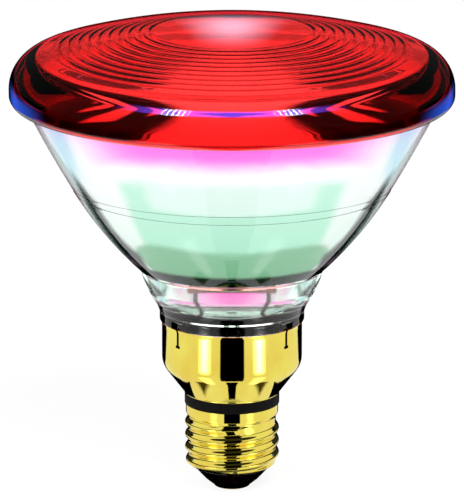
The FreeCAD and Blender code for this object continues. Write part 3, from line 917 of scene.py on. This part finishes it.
@dataclass
class Part:
    """A sub-assembly: it builds its meshes, dresses them and gives them to the lamp's body."""

    segments: int = 288
    step: float = 0.5
    made: list[Object] = field(default_factory=list)

    def build(self) -> None:
        """Builds, dresses and hands in every piece of the sub-assembly."""
        raise NotImplementedError

    def hand_in(self, piece: Object, node: str, slot: str) -> None:
        """Lets a piece stand for a CAD node.

        Args:
            piece: The finished piece.
            node: The node that it replaces.
            slot: A material slot's name; not used.
        """
        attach(piece, BODY)
        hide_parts(node)
        self.made.append(piece)

    def dress(
        self, piece: Object, finish: Finish, *others: Finish, zone: Callable[[Vector], Finish] | None = None
    ) -> None:
        """Gives a piece its finishes.

        Args:
            piece: The piece.
            finish: Its main finish.
            others: Finishes of zones on it.
            zone: Gives the finish for a face's middle, in millimetres.
        """
        finishes = (finish, *others)
        piece.data.materials.clear()
        for each in finishes:
            piece.data.materials.append(each.material())
        if zone:
            numbers = {each.name: number for number, each in enumerate(finishes)}
            for face in piece.data.polygons:
                face.material_index = numbers[zone(face.center / MM).name]

    def dress_nodes(self, finish: Finish, *nodes: str) -> None:
        """Gives CAD nodes whose shape is right a finished material.

        Args:
            finish: The finish.
            nodes: The nodes' names.
        """
        for node in nodes:
            self.dress(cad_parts[node], finish)
            self.made.append(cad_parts[node])


@dataclass
class FrontLens(Part):
    """Domed ruby glass lens with rings of ribs inside."""

    segments: int = 256
    step: float = 1.1
    radius: float = 61.16
    edge: float = 2.4
    rim_height: float = 4.1
    rim_width: float = 6.76
    shoulder: float = 10.1
    dome: float = 192.1
    thickness: float = 3.4
    inner_corner: float = 2.5
    rib_start: float = 21.7
    rib_pitch: float = 2.7
    rib_depth: float = 0.07
    rib_count: int = 10
    points_a_rib: int = 9
    seam: float = 0.03

    def build(self) -> None:
        """Turns the lens and lets the rule tree raise its ribs."""
        seal = heights("front_lens")[0]
        shoulder_height = seal + self.rim_height
        span = self.radius - self.shoulder
        centre = shoulder_height - math.sqrt((self.dome - self.shoulder) ** 2 - span**2)
        share = self.dome / (self.dome - self.shoulder)
        tangent = (span * share, centre + (shoulder_height - centre) * share)
        inner_dome = self.dome - self.thickness
        seat = self.radius - self.rim_width
        seat_top = centre + math.sqrt(inner_dome**2 - seat**2)
        foot = seal + self.seam
        outside = [
            Corner(0, centre + self.dome, bow=self.dome),
            Corner(*tangent, bow=self.shoulder),
            Corner(self.radius, shoulder_height),
            Corner(self.radius, foot, rounding=self.edge),
            Corner(seat + self.rib_pitch, foot),
        ]
        inside = [
            Corner(seat, foot),
            Corner(seat, seat_top, rounding=self.inner_corner, bow=-inner_dome),
            Corner(0, centre + inner_dome),
        ]
        points = outline(outside, self.step, closed=False)
        points += outline(inside, self.rib_pitch / self.points_a_rib, closed=False)
        lens = turned_piece("ruby_lens", points, even_angles(self.segments), closed=False)
        dome_centre = Vector((0, 0, centre))
        ribbed = lens.data.attributes.new("ribbed", "FLOAT", "POINT")
        for point, vertex in zip(ribbed.data, lens.data.vertices):
            off = abs((vertex.co / MM - dome_centre).length - inner_dome)
            point.value = float(off < self.rib_depth / 2)
        sizes = {
            "Start": self.rib_start * MM,
            "End": (self.rib_start + self.rib_pitch * self.rib_count) * MM,
            "Depth": self.rib_depth * MM,
            "Count": float(self.rib_count),
        }
        lens = RibTree("lens_ribs", sizes).bake(lens, RUBY)
        # The frit on the foot face also paints shade into the lens's rim
        self.dress(lens, RUBY, FRIT_AND_SHADE, zone=lambda middle: FRIT_AND_SHADE if middle.z < foot + self.seam else RUBY)
        self.hand_in(lens, "front_lens", "red_glass")


@dataclass
class Bowl(Part):
    """Clear glass reflector with its silvering, its well and its notched collar."""

    step: float = 0.8
    body_radius: float = 56.9
    body_bow: float = 390.0
    ledge_inset: float = 0.15
    ledge_rise: float = 0.02
    ledge_rounding: float = 0.05
    bowl_rise: float = 23.2
    bowl_bow: float = 110.0
    bowl_wall: float = 3.21
    focus: float = 12.4
    vertex_rise: float = 1.4
    mirror_lip: float = 0.9
    mirror_lift: float = 1.7
    mirror_steps: int = 64
    film_reach: float = 0.35
    neck_bow: float = 30.0
    neck_flare: float = 4.4
    neck_wall: float = 4.9
    waist_step: float = 0.9
    waist_rise: float = 2.4
    collar: float = 20.1
    collar_thickness: float = 2.7
    rounding: float = 0.5
    foot: float = 18.9
    well_floor: float = 3.0
    well_taper: float = 2.5
    well_corner: float = 9.0
    tube_bore: float = 1.5
    notch_width: float = 4.0
    notch_depth: float = 1.1
    notch_slope: float = 0.12
    seam: float = 0.02

    def mirror_radius(self, rise: float) -> float:
        """The paraboloid's radius at a rise above its vertex."""
        return math.sqrt(4 * self.focus * max(0.0, rise))

    def build(self) -> None:
        """Turns the bowl, cuts the notches and silvers the paraboloid."""
        foot_bottom, seal = heights("reflector")
        collar_bottom = heights("base_skirt")[1]
        collar_top = collar_bottom + self.collar_thickness
        waist = self.collar + self.waist_step
        neck = waist + self.neck_flare
        well_bottom = collar_bottom + self.well_floor
        vertex = well_bottom + self.vertex_rise
        mirror_bottom = vertex + (neck - self.mirror_lip) ** 2 / (4 * self.focus)
        neck_height = mirror_bottom - self.mirror_lift
        ledge_height = neck_height + self.bowl_rise
        ledge = self.mirror_radius(ledge_height - vertex) + self.bowl_wall
        well = neck - self.neck_wall
        outside = [
            Corner(self.tube_bore, foot_bottom),
            Corner(self.foot, foot_bottom, rounding=self.rounding),
            Corner(self.foot, collar_bottom),
            Corner(self.collar, collar_bottom, rounding=self.rounding),
            Corner(self.collar, collar_top - self.rounding - self.notch_slope),
            Corner(self.collar, collar_top - self.rounding),
            Corner(self.collar, collar_top),
            Corner(waist, collar_top + self.waist_rise, bow=-self.neck_bow),
            Corner(neck, neck_height, rounding=self.rounding, bow=-self.bowl_bow),
            Corner(ledge, ledge_height, rounding=self.ledge_rounding),
            Corner(ledge - self.ledge_inset, ledge_height + self.ledge_rise, bow=-self.body_bow),
            Corner(self.body_radius, seal),
        ]
        inside = [
            Corner(well, mirror_bottom),
            Corner(well - self.well_taper, well_bottom, rounding=self.well_corner),
            Corner(self.tube_bore, well_bottom),
        ]
        shares = (step / self.mirror_steps for step in range(self.mirror_steps + 1))
        mirror = [seal + (mirror_bottom - seal) * share for share in shares]
        points = outline(outside, self.step, closed=False)
        points += [(self.mirror_radius(height - vertex), height) for height in mirror]
        points += outline(inside, self.step, closed=False)
        half, slope = self.notch_width / 2 / self.collar, self.notch_slope / self.collar
        notch_floor = self.collar - self.notch_depth
        notch_top = collar_top - self.rounding - self.notch_slope / 2

        def notched(radius: float, height: float, angle: float) -> float:
            """Cuts the notches.

            Args:
                radius: The outline's radius.
                height: The outline's height.
                angle: The angle, in radians.

            Returns:
                The radius there.
            """
            is_collar = notch_floor < radius <= self.collar + self.rounding
            is_low = collar_bottom - self.rounding < height < notch_top
            is_cut = is_collar and is_low and apart(angle, LOCK_ANGLES) < half + slope / 2
            return notch_floor if is_cut else radius

        def zone(middle: Vector) -> Finish:
            """Tells the bowl's zones apart.

            Args:
                middle: A face's middle, in millimetres.

            Returns:
                The finish there.
            """
            reach = math.hypot(middle.x, middle.y)
            is_film = abs(reach - self.mirror_radius(middle.z - vertex)) < self.film_reach
            if is_film and mirror_bottom < middle.z < seal:
                return MIRROR
            if reach < well + self.mirror_lip and well_bottom + self.rounding < middle.z < mirror_bottom:
                return NECK if reach < well + self.rounding else BOWL
            # The foot's cement is also painted shade for the dark inside the skirt
            is_foot = middle.z < collar_bottom + self.seam and reach > self.tube_bore + self.seam
            return CEMENT_AND_SHADE if is_foot else BOWL

        angles = even_angles(self.segments, flanks((half, half + slope)))
        bowl = turned_piece("glass_bowl", points, angles, radius_rule=notched)
        self.dress(bowl, BOWL, MIRROR, NECK, CEMENT_AND_SHADE, zone=zone)
        self.hand_in(bowl, "reflector", "clear_glass")
        self.dress_nodes(TUBE, "exhaust_tube")


@dataclass
class Skirt(Part):
    """Drawn brass skirt with four T-shaped locking slits."""

    step: float = 0.6
    sheet: float = 0.3
    neck: float = 13.23
    neck_length: float = 3.2
    cone_rise: float = 8.35
    bottom_bend: float = 1.0
    crimp_edge: float = 0.1
    top_bend: float = 6.0
    radius: float = 19.5
    lip_height: float = 0.8
    lip_flare: float = 0.35
    slit_length: float = 5.2
    slit_width: float = 0.9
    slit_foot_width: float = 1.75
    slit_foot_height: float = 0.8

    def build(self) -> None:
        """Turns the sheet and opens its slits."""
        bottom, top = heights("base_skirt")
        cone_bottom = bottom + self.neck_length
        slit_bottom = top - self.slit_length
        foot_top = slit_bottom + self.slit_foot_height
        corners = [
            Corner(self.neck, bottom),
            Corner(self.neck, cone_bottom, rounding=self.bottom_bend),
            Corner(self.radius, cone_bottom + self.cone_rise, rounding=self.top_bend),
            Corner(self.radius, slit_bottom),
            Corner(self.radius, foot_top),
            Corner(self.radius, top - self.lip_height),
            Corner(self.radius + self.lip_flare, top),
        ]
        slit, slit_foot = (width / 2 / self.radius for width in (self.slit_width, self.slit_foot_width))

        def is_slit(height: float, angle: float) -> bool:
            """Whether a slit opens the sheet at a height and an angle."""
            width = slit_foot if height < foot_top else slit
            return height > slit_bottom and apart(angle, LOCK_ANGLES) < width

        angles = even_angles(self.segments, flanks((slit, slit_foot)))
        walk = outline(corners, self.step, closed=False)
        skirt = sheet_piece("brass_skirt", walk, self.sheet, angles, is_slit)
        crimp_top = cone_bottom - self.crimp_edge
        # The crimp's lacquer is also painted shade for the dark band that the neck reflects
        self.dress(skirt, BRASS, CRIMP_AND_SHADE, zone=lambda middle: CRIMP_AND_SHADE if middle.z < crimp_top else BRASS)
        self.hand_in(skirt, "base_skirt", "base_brass")


@dataclass
class ScrewShell(Part):
    """Rolled brass screw shell."""

    step: float = 0.16
    sheet: float = 0.3
    mouth: float = 10.9
    turn_in: float = 1.1
    root: float = 12.25
    crest: float = 13.15
    collar: float = 12.9
    collar_rise: float = 15.187
    taper: float = 0.9
    pitch: float = 3.629
    thread_lead: float = 0.9
    thread_turns: float = 3.55
    thread_angle: float = 120.6
    thread_fade: Pair = (-0.04, 0.25)

    def build(self) -> None:
        """Turns the plain shell and lets the rule tree roll the thread."""
        bottom, top = heights("screw_shell")
        collar_bottom = bottom + self.collar_rise
        inner_root, inner_collar = self.root - self.sheet, self.collar - self.sheet
        corners = [
            Corner(self.mouth, bottom),
            Corner(self.root, bottom, rounding=self.turn_in),
            Corner(self.root, collar_bottom - self.taper, rounding=self.taper),
            Corner(self.collar, collar_bottom, rounding=self.taper),
            Corner(self.collar, top),
            Corner(inner_collar, top),
            Corner(inner_collar, collar_bottom, rounding=self.taper),
            Corner(inner_root, collar_bottom - self.taper, rounding=self.taper),
            Corner(inner_root, bottom + self.sheet, rounding=self.turn_in - self.sheet),
            Corner(self.mouth, bottom + self.sheet),
        ]
        shell = turned_piece("brass_screw_shell", outline(corners, self.step), even_angles(self.segments))
        sizes = {
            "Start": (bottom + self.thread_lead) * MM,
            "Start angle": math.radians(self.thread_angle),
            "Pitch": self.pitch * MM,
            "Turns": self.thread_turns,
            "Height": (self.crest - self.root) * MM,
            "Fade from": self.thread_fade[0],
            "Fade to": self.thread_fade[1],
        }
        shell = ThreadTree("rolled_thread", sizes).bake(shell, BRASS)
        self.hand_in(shell, "screw_shell", "base_brass")


@dataclass
class Contact(Part):
    """Black glass insulator with the stamped brass contact and its solder."""

    segments: int = 144
    contact_height: float = 0.9
    contact_radius: float = 5.0
    contact_rounding: float = 0.4
    eyelet: float = 1.7
    eyelet_height: float = 3.2
    eyelet_rounding: float = 0.2
    sheet: float = 0.3
    ledge: float = 0.5
    glass_edge: float = 0.3
    waist: float = 7.6
    waist_height: float = 2.5
    waist_rounding: float = 2.0
    clearance: float = 0.03
    mouth: float = 10.9
    bore: float = 11.95
    turn_in: float = 1.1
    lead: float = 0.35
    sleeve: float = 0.85
    dish: float = 1.0
    solder_step: float = 0.2
    solder_recess: float = 0.15
    solder_height: float = 2.2

    def build(self) -> None:
        """Turns insulator, contact and solder."""
        angles = even_angles(self.segments)
        shell_bottom = heights("screw_shell")[0]
        top = heights("base_insulator")[1]
        inner_face = shell_bottom + self.sheet + self.clearance
        seat, mouth = self.bore - self.clearance, self.mouth - self.clearance
        bore, lead = self.eyelet + self.clearance, self.lead + self.clearance
        rim = self.contact_radius + self.contact_rounding / 2
        insulator = [
            Corner(bore, self.contact_height),
            Corner(rim + self.ledge, self.contact_height, rounding=self.glass_edge),
            Corner(self.waist, self.waist_height, rounding=self.waist_rounding),
            Corner(mouth, shell_bottom - self.sheet, rounding=self.glass_edge),
            Corner(mouth, inner_face),
            Corner(seat, inner_face, rounding=self.turn_in - self.sheet),
            Corner(seat, top),
            Corner(seat / 2, top),
            Corner(self.sleeve + self.clearance, top - self.dish),
            Corner(lead, top - self.dish),
            Corner(lead, self.eyelet_height + self.clearance),
            Corner(bore, self.eyelet_height + self.clearance),
        ]
        eyelet = self.eyelet - self.sheet
        contact = [
            Corner(eyelet, 0, rounding=self.eyelet_rounding),
            Corner(self.contact_radius, 0, rounding=self.contact_rounding),
            Corner(rim, self.contact_height),
            Corner(self.eyelet, self.contact_height),
            Corner(self.eyelet, self.eyelet_height),
            Corner(eyelet, self.eyelet_height),
        ]
        solder = [
            Corner(0, self.solder_recess, bow=-self.solder_height),
            Corner(eyelet, self.solder_recess + self.sheet),
            Corner(eyelet, self.solder_recess + self.solder_height),
            Corner(self.lead, self.solder_recess + self.solder_height),
            Corner(self.lead, self.solder_recess + 2 * self.sheet),
            Corner(0, self.solder_recess + 2 * self.sheet),
        ]
        for name, corners, step, closed, finish, node, slot in (
            ("black_glass_insulator", insulator, self.step, True, BLACK, "base_insulator", "black_glass"),
            ("brass_centre_contact", contact, self.step, True, BRASS, "centre_contact", "base_brass"),
            ("solder_plug", solder, self.solder_step, False, SOLDER, "contact_solder", "solder"),
        ):
            piece = turned_piece(name, outline(corners, step, closed), angles, closed)
            self.dress(piece, finish)
            self.hand_in(piece, node, slot)


@dataclass
class Burner(Part):
    """Tungsten coil with its posts, bridge, supports, ferrules and supply leads."""

    post_spread: float = 20.0
    bend: float = 2.2
    bend_pieces: int = 8
    coil_radius: float = 0.9
    wire_radius: float = 0.16
    coil_pitch: float = 0.62
    points_a_turn: float = 14.0

    def build(self) -> None:
        """Winds the coil and dresses the CAD's own pieces."""
        low, high = heights("filament")
        half, axis_height = self.post_spread / 2, high - self.coil_radius
        corners = ((-half, low), (-half, axis_height), (half, axis_height), (half, low))
        route = self.rounded([Vector(corner) for corner in corners])
        curve = bpy.data.curves.new("coil_route", "CURVE")
        curve.dimensions = "3D"
        spline = curve.splines.new("POLY")
        spline.points.add(len(route) - 1)
        for point, (across, height) in zip(spline.points, route):
            point.co = (across * MM, 0.0, height * MM, 1.0)
        sizes = {
            "Pitch": self.coil_pitch * MM,
            "Radius": (self.coil_radius - self.wire_radius) * MM,
            "Wire radius": self.wire_radius * MM,
            "Points a turn": self.points_a_turn,
        }
        coil = CoilTree("wound_coil", sizes).bake(add_object("tungsten_coil", curve), TUNGSTEN)
        self.hand_in(coil, "filament", "tungsten")
        self.dress_nodes(STEATITE, "support_bridge")
        self.dress_nodes(BRAZE, "braze_left", "braze_right")
        self.dress_nodes(SLEEVING, "insulating_sleeve")
        pairs = product(("ferrule", "lead_post", "filament_support"), ("left", "right"))
        self.dress_nodes(NICKEL_IRON, "centre_lead", "side_lead", *map("_".join, pairs))

    def rounded(self, corners: Sequence[Vector]) -> list[Vector]:
        """Bends the coil's route, up one leg, across and down the other.

        Args:
            corners: The route's ends and its right-angled corners, in order.

        Returns:
            The route's points, with its two bends as arcs.
        """
        route = [corners[0]]
        for before, corner, after in zip(corners, corners[1:], corners[2:]):
            back, onward = (before - corner).normalized(), (after - corner).normalized()
            centre = corner + (back + onward) * self.bend
            for piece in range(self.bend_pieces + 1):
                turn = math.pi / 2 * piece / self.bend_pieces
                along = onward * self.bend * math.cos(turn)
                across = back * self.bend * math.sin(turn)
                route.append(centre - along - across)
        return [*route, corners[-1]]


# Studio


class SeenBy(Enum):
    """Which rays a studio card shows itself to."""

    MIRRORS = "reflections on the outside of brass and glass"
    GLASS = "what is seen through glass"


@dataclass(frozen=True)
class Card:
    """A bright, coloured or black studio card that curves round the lamp and that the camera doesn't see.

    Its profile gives the distance from the axis and the height of its near and its far edge, and the points
    between them, in millimetres. Soft gives the shares of its sides, near edge and far edge that fade out.
    A card that widens or narrows has other azimuths at its far edge.
    """

    name: str
    azimuths: Pair
    profile: tuple[Pair, ...]
    brightness: float
    tint: str = "ffffff"
    soft: Triple = (0.1, 0.1, 0.1)
    shifts: Pair = (0.0, 0.0)
    mirrored: bool = False
    far_azimuths: Pair | None = None
    columns: int = 48

    def build(self, seen_by: SeenBy, lift: float) -> None:
        """Makes the card, or a left and a right one.

        Args:
            seen_by: Which rays see it.
            lift: How far it lies above its place, so that cards never share one.
        """
        sides = {f"{self.name}_right": 1, f"{self.name}_left": -1} if self.mirrored else {self.name: 1}
        for name, side in sides.items():
            card = add_object(name, self.mesh(name, side, lift))
            card.data.materials.append(self.material(name, seen_by))
            card.visible_camera = False
            card.visible_diffuse = False
            card.visible_shadow = False

    def mesh(self, name: str, side: int, lift: float) -> bpy.types.Mesh:
        """Makes the card's grid, with its edges' coordinates.

        Args:
            name: The card's name.
            side: 1 as it is written, and -1 for its mirror image.
            lift: How far it lies above its place.

        Returns:
            The mesh.
        """
        vertices, edges = [], []
        last = len(self.profile) - 1
        for row, (reach, height) in enumerate(self.profile):
            along = row / last
            shift = self.shifts[0] + (self.shifts[1] - self.shifts[0]) * along
            limits = zip(self.azimuths, self.far_azimuths or self.azimuths)
            low, high = (near + (far - near) * along for near, far in limits)
            for column in range(self.columns + 1):
                across = column / self.columns
                angle = math.radians(low + (high - low) * across) * side
                place = Vector((math.sin(angle) * reach, shift - math.cos(angle) * reach, height + lift))
                vertices.append(place * MM)
                edges.append((across, along))
        wide = self.columns + 1
        starts = (row * wide + column for row, column in product(range(last), range(self.columns)))
        mesh = bpy.data.meshes.new(name)
        faces = [(start, start + 1, start + wide + 1, start + wide) for start in starts]
        mesh.from_pydata(vertices, [], faces)
        layer = mesh.uv_layers.new(name="edges")
        for loop in mesh.loops:
            layer.data[loop.index].uv = edges[loop.vertex_index]
        return mesh

    def material(self, name: str, seen_by: SeenBy) -> Material:
        """Makes a glow that fades to nothing at the card's edges.

        Args:
            name: The material's name.
            seen_by: Which rays see it.

        Returns:
            The material.
        """
        made, tree = new_material(name)
        place = add_node(tree, "ShaderNodeUVMap", uv_map="edges")
        across, along, _ = add_node(tree, "ShaderNodeSeparateXYZ", {0: place}).outputs
        share = add_node(tree, "ShaderNodeLightPath").outputs["Is Transmission Ray"]
        if seen_by is SeenBy.MIRRORS:
            share = add_node(tree, MATH, {0: 1.0, 1: share}, operation="SUBTRACT")
        sides, near, far = self.soft
        ends = ((across, 0, sides), (across, 1, sides), (along, 0, near), (along, 1, far))
        for edge, start, width in ends:
            if width:
                reach = {"Value": edge, "From Min": float(start), "From Max": abs(start - width)}
                fade = add_node(tree, MAP_RANGE, reach, interpolation_type="SMOOTHSTEP")
                share = add_node(tree, MATH, {0: share, 1: fade}, operation="MULTIPLY")
        clear = add_node(tree, "ShaderNodeBsdfTransparent")
        shine = {"Color": colour(self.tint), "Strength": self.brightness}
        glow = add_node(tree, "ShaderNodeEmission", shine)
        both = add_node(tree, "ShaderNodeMixShader", {0: share, 1: clear, 2: glow})
        add_node(tree, "ShaderNodeOutputMaterial", {"Surface": both})
        return made


def on_floor(*reaches: float, height: float = 0.05) -> tuple[Pair, ...]:
    """The profile of a card that lies on the floor."""
    return tuple((reach, height) for reach in reaches)


def in_sky(
    low: float, high: float, distance: float = 1300.0, middle: float = 120.0, steps: int = 12
) -> tuple[Pair, ...]:
    """The profile of a far card between two elevations, in degrees, as the lens sees them."""
    rises = [math.radians(low + (high - low) * step / steps) for step in range(steps + 1)]
    return tuple((distance * math.cos(rise), middle + distance * math.sin(rise)) for rise in rises)


@dataclass(frozen=True)
class Lamp:
    """A soft studio lamp, with its place and its side in metres and its power in watts."""

    name: str
    place: Triple
    power: float
    size: float = 0.9

    def build(self, target: Vector) -> None:
        """Hangs the lamp so that it faces a point.

        Args:
            target: The point, in metres.
        """
        light = bpy.data.lights.new(self.name, "AREA")
        light.energy = self.power
        light.size = self.size
        lamp = add_object(self.name, light)
        lamp.visible_glossy = False
        lamp.visible_transmission = False
        aim(lamp, Vector(self.place), target)


def aim(piece: Object, place: Vector, target: Vector) -> None:
    """Puts a lamp or a camera in its place and turns it to a point."""
    piece.location = place
    piece.rotation_euler = (target - place).to_track_quat("-Z", "Y").to_euler()


@dataclass(frozen=True)
class Studio:
    """Pale floor, white surround, soft lamps and the camera at the photograph's angle."""

    distance: float = 1140.5
    elevation: float = 14.88
    target_height: float = 68.08
    lens: float = 296.55
    clip_start: float = 0.05
    floor_half: float = 4.0
    near_floor: float = 0.19
    floor_fade: float = 1.3
    glass_lift: float = 0.12
    glow: float = 0.9
    surround: float = 0.03
    card_gap: float = 0.004
    lamps: tuple[Lamp, ...] = (
        Lamp("key_lamp", (0.5, -0.9, 1.4), 44.0),
        Lamp("fill_lamp", (-0.9, -0.5, 1.1), 27.0),
    )

    def build(self) -> None:
        """Sets up everything that isn't the lamp."""
        self.build_world()
        self.build_floor()
        cards = [(SeenBy.GLASS, card) for card in self.seen_through_glass()]
        cards += [(SeenBy.MIRRORS, card) for card in self.seen_by_brass() + self.seen_by_lens()]
        for index, (seen_by, card) in enumerate(cards):
            card.build(seen_by, self.card_gap * index)
        target = Vector((0, 0, self.target_height * MM))
        for lamp in self.lamps:
            lamp.build(target)
        self.build_camera(target)
        bpy.context.scene.view_settings.view_transform = "Standard"

    def seen_through_glass(self) -> list[Card]:
        """What the bowl and the red lens show: softboxes above, and shadow and glow on the floor.

        Returns:
            The cards.
        """
        ring, back = (38.0, 38.0), (125.0, 125.0)
        return [
            Card("front_softbox", (-86, 86), in_sky(35, 52), 4.0, soft=(0.1, 0.15, 0.15)),
            Card("top_softbox", (-180, 180), in_sky(61, 85), 4.3, soft=(0, 0.12, 0.1)),
            Card("side_softbox", (98, 138), in_sky(44, 62), 2.0, mirrored=True),
            Card("rear_softbox", (150, 210), in_sky(2, 50), 4.2, soft=(0.4, 0.05, 0.3)),
            Card("rear_floor", (150, 210), on_floor(400, 1500), 4.2, soft=(0.4, 0.1, 0.05)),
            Card("far_flag", (112, 160), on_floor(330, 1500), 0.0, soft=(0.1, 0.08, 0), mirrored=True),
            Card("blue_rim", (104, 150), on_floor(150, 320), 1.1, "c4ecfa", (0.4, 0.3, 0.3), mirrored=True),
            Card("pink_glow", (-104, 104), on_floor(135, 185), 1.15, "ff8cf0", (0.3, 0.25, 0.3), ring),
            Card("pale_shadow", (-76, 76), on_floor(0, 131), 1.15, "ecfcf5", (0.08, 0, 0.04), ring),
            Card("mint_patch", (42, 72), on_floor(104, 127), 1.12, "cdf8e3", (0.4, 0.05, 0.2), ring, True),
            Card("mint_shadow", (-74, 74), on_floor(0, 107), 1.1, "cdf8e3", (0.08, 0, 0.03), ring),
            Card("grey_shadow", (-100, 100), on_floor(0, 86), 1.0, "9cccaa", (0.05, 0, 0.05), ring),
            Card("side_shadow", (108, 175), on_floor(80, 215), 0.04, "408080", (0.12, 0.1, 0.25),
                 mirrored=True, far_azimuths=(132, 175)),
            Card("rose_side", (157, 173), on_floor(190, 370), 1.3, "ffb4e4", (0.4, 0.3, 0.3),
                 mirrored=True),
            Card("rose_glow", (-180, 180), on_floor(0, 90), 1.6, "ffb4e4", (0, 0, 0.6), back),
            Card("magenta_glow", (-180, 180), on_floor(0, 34), 1.8, "ff50b8", (0, 0, 0.8), (118, 118)),
        ]

    def seen_by_brass(self) -> list[Card]:
        """What the brass mirrors: stripes and shadows on the floor, and a pale card for the thread.

        Returns:
            The cards.
        """
        thread, front, side = (((reach, low), (reach, high)) for reach, low, high in (
            (85.0, 30.0, 97.0), (84.0, 30.0, 104.0), (86.0, 36.0, 97.0)))
        return [
            Card("thread_card", (20, 118), thread, 0.9, soft=(0.05, 0.1, 0.1), mirrored=True),
            Card("thread_flag", (-20, 20), front, 0.0, soft=(0.02, 0.05, 0.05)),
            Card("side_flag", (116, 170), side, 0.0, soft=(0.02, 0.05, 0), mirrored=True),
            Card("edge_flag", (156, 204), on_floor(66, 230), 0.0, soft=(0.03, 0, 0.02),
                 far_azimuths=(125, 235)),
            Card("cone_edge_flag", (98, 262), on_floor(31, 100), 0.0, soft=(0.02, 0, 0),
                 far_azimuths=(152, 208)),
            Card("cone_shade", (48, 88), on_floor(20, 31), 0.25, "8a7a30", (0.3, 0.2, 0.3), mirrored=True),
            Card("skirt_strip", (31, 55), on_floor(70, 200), 7.0, soft=(0.5, 0.6, 0.15), mirrored=True),
            Card("thread_strip", (30, 60), on_floor(20, 60), 2.0, soft=(0.4, 0.2, 0.2), mirrored=True),
            Card("centre_flag", (-19.5, 19.5), on_floor(37, 420), 0.0, soft=(0.05, 0.01, 0.02)),
            Card("cone_line", (-12, 12), on_floor(14, 34), 0.0, soft=(0.1, 0, 0.05)),
            Card("contact_shadow", (-180, 180), on_floor(0, 15), 0.0, soft=(0, 0, 0.2)),
        ]

    def seen_by_lens(self) -> list[Card]:
        """What the outside of the lens mirrors: a violet line with two white spots, and blue sides.

        Returns:
            The cards.
        """
        strip = ((102.0, 162.0), (82.0, 176.0))
        edge = ((150.0, 52.0), (150.0, 108.0))
        return [
            Card("back_card", (176.5, 183.5), in_sky(1, 30), 2.2, "e6e0ff", (0.5, 0.5, 0.5)),
            Card("rear_glow", (150, 210), in_sky(-4, 4), 0.8, "ff3a48", (0.4, 0.4, 0.4)),
            Card("white_strip", (16, 32), strip, 80.0, soft=(0.45, 0.25, 0.25), mirrored=True),
            Card("violet_strip", (-54, 54), strip, 18.0, "7a4cff", (0.3, 0.2, 0.2)),
            Card("blue_edge", (90, 142), edge, 2.6, "3c68ff", (0.35, 0.2, 0.4), mirrored=True),
        ]

    def build_world(self) -> None:
        """White for the camera, and dark for reflections, where the cards do the lighting."""
        world = bpy.data.worlds.new("studio")
        world.use_nodes = True
        tree = world.node_tree
        tree.nodes.clear()
        seen = add_node(tree, "ShaderNodeLightPath").outputs["Is Camera Ray"]
        level = add_node(tree, MATH, {0: seen, 1: self.surround}, operation="MAXIMUM")
        glow = add_node(tree, "ShaderNodeBackground", {"Color": colour("ffffff"), "Strength": level})
        add_node(tree, "ShaderNodeOutputWorld", {"Surface": glow})
        bpy.context.scene.world = world

    def build_floor(self) -> None:
        """A pale floor that shows white, keeps the shadow and ends near the lamp for gloss."""
        mesh = bpy.data.meshes.new("floor")
        half = self.floor_half
        corners = [(-half, -half, 0), (half, -half, 0), (half, half, 0), (-half, half, 0)]
        mesh.from_pydata(corners, [], [(0, 1, 2, 3)])
        material, tree = new_material("pale_floor")
        path = add_node(tree, "ShaderNodeLightPath").outputs
        camera, glossy, through = (path[f"Is {ray} Ray"] for ray in ("Camera", "Glossy", "Transmission"))
        rough = add_node(tree, MATH, {0: 1.0, 1: glossy}, operation="SUBTRACT")
        pale = add_node(tree, MATH, {0: rough, 1: through}, operation="MAXIMUM")
        matt = add_node(tree, "ShaderNodeBsdfDiffuse", {"Color": pale})
        level = add_node(tree, MATH, {0: through, 1: self.glass_lift, 2: 1.0}, operation="MULTIPLY_ADD")
        glow = add_node(tree, "ShaderNodeEmission", {"Color": colour("ffffff"), "Strength": level})
        place = add_node(tree, "ShaderNodeTexCoord").outputs["Object"]
        away = add_node(tree, VECTOR, {0: place}, operation="LENGTH").outputs["Value"]
        reach = {"Value": away, "From Min": self.near_floor, "From Max": self.near_floor * self.floor_fade}
        near = add_node(tree, MAP_RANGE, reach | {"To Min": 1.0, "To Max": 0.0})
        gloss = add_node(tree, MATH, {0: glossy, 1: near}, operation="MULTIPLY")
        shown = add_node(tree, MATH, {0: camera, 1: through}, operation="MAXIMUM")
        either = add_node(tree, MATH, {0: gloss, 1: shown}, operation="MAXIMUM")
        share = add_node(tree, MATH, {0: either, 1: self.glow}, operation="MULTIPLY")
        both = add_node(tree, "ShaderNodeMixShader", {0: share, 1: matt, 2: glow})
        add_node(tree, "ShaderNodeOutputMaterial", {"Surface": both})
        mesh.materials.append(material)
        floor = add_object("floor", mesh)

    def build_camera(self, target: Vector) -> None:
        """Sets the camera where the photograph was taken from.

        Args:
            target: What it looks at, in metres.
        """
        view = bpy.data.cameras.new("camera")
        view.lens = self.lens
        view.clip_start = self.clip_start
        camera = add_object("camera", view)
        rise = math.radians(self.elevation)
        aim(camera, target + Vector((0, -math.cos(rise), math.sin(rise))) * self.distance * MM, target)
        bpy.context.scene.camera = camera


def main() -> None:
    logging.basicConfig(level=logging.INFO, format="%(message)s")
    for part in (FrontLens(), Bowl(), Skirt(), ScrewShell(), Contact(), Burner()):
        part.build()
        for piece in part.made:
            LOG.info("%s: %d faces", piece.name, len(piece.data.polygons))
    Studio().build()


if __name__ == "__main__":
    main()
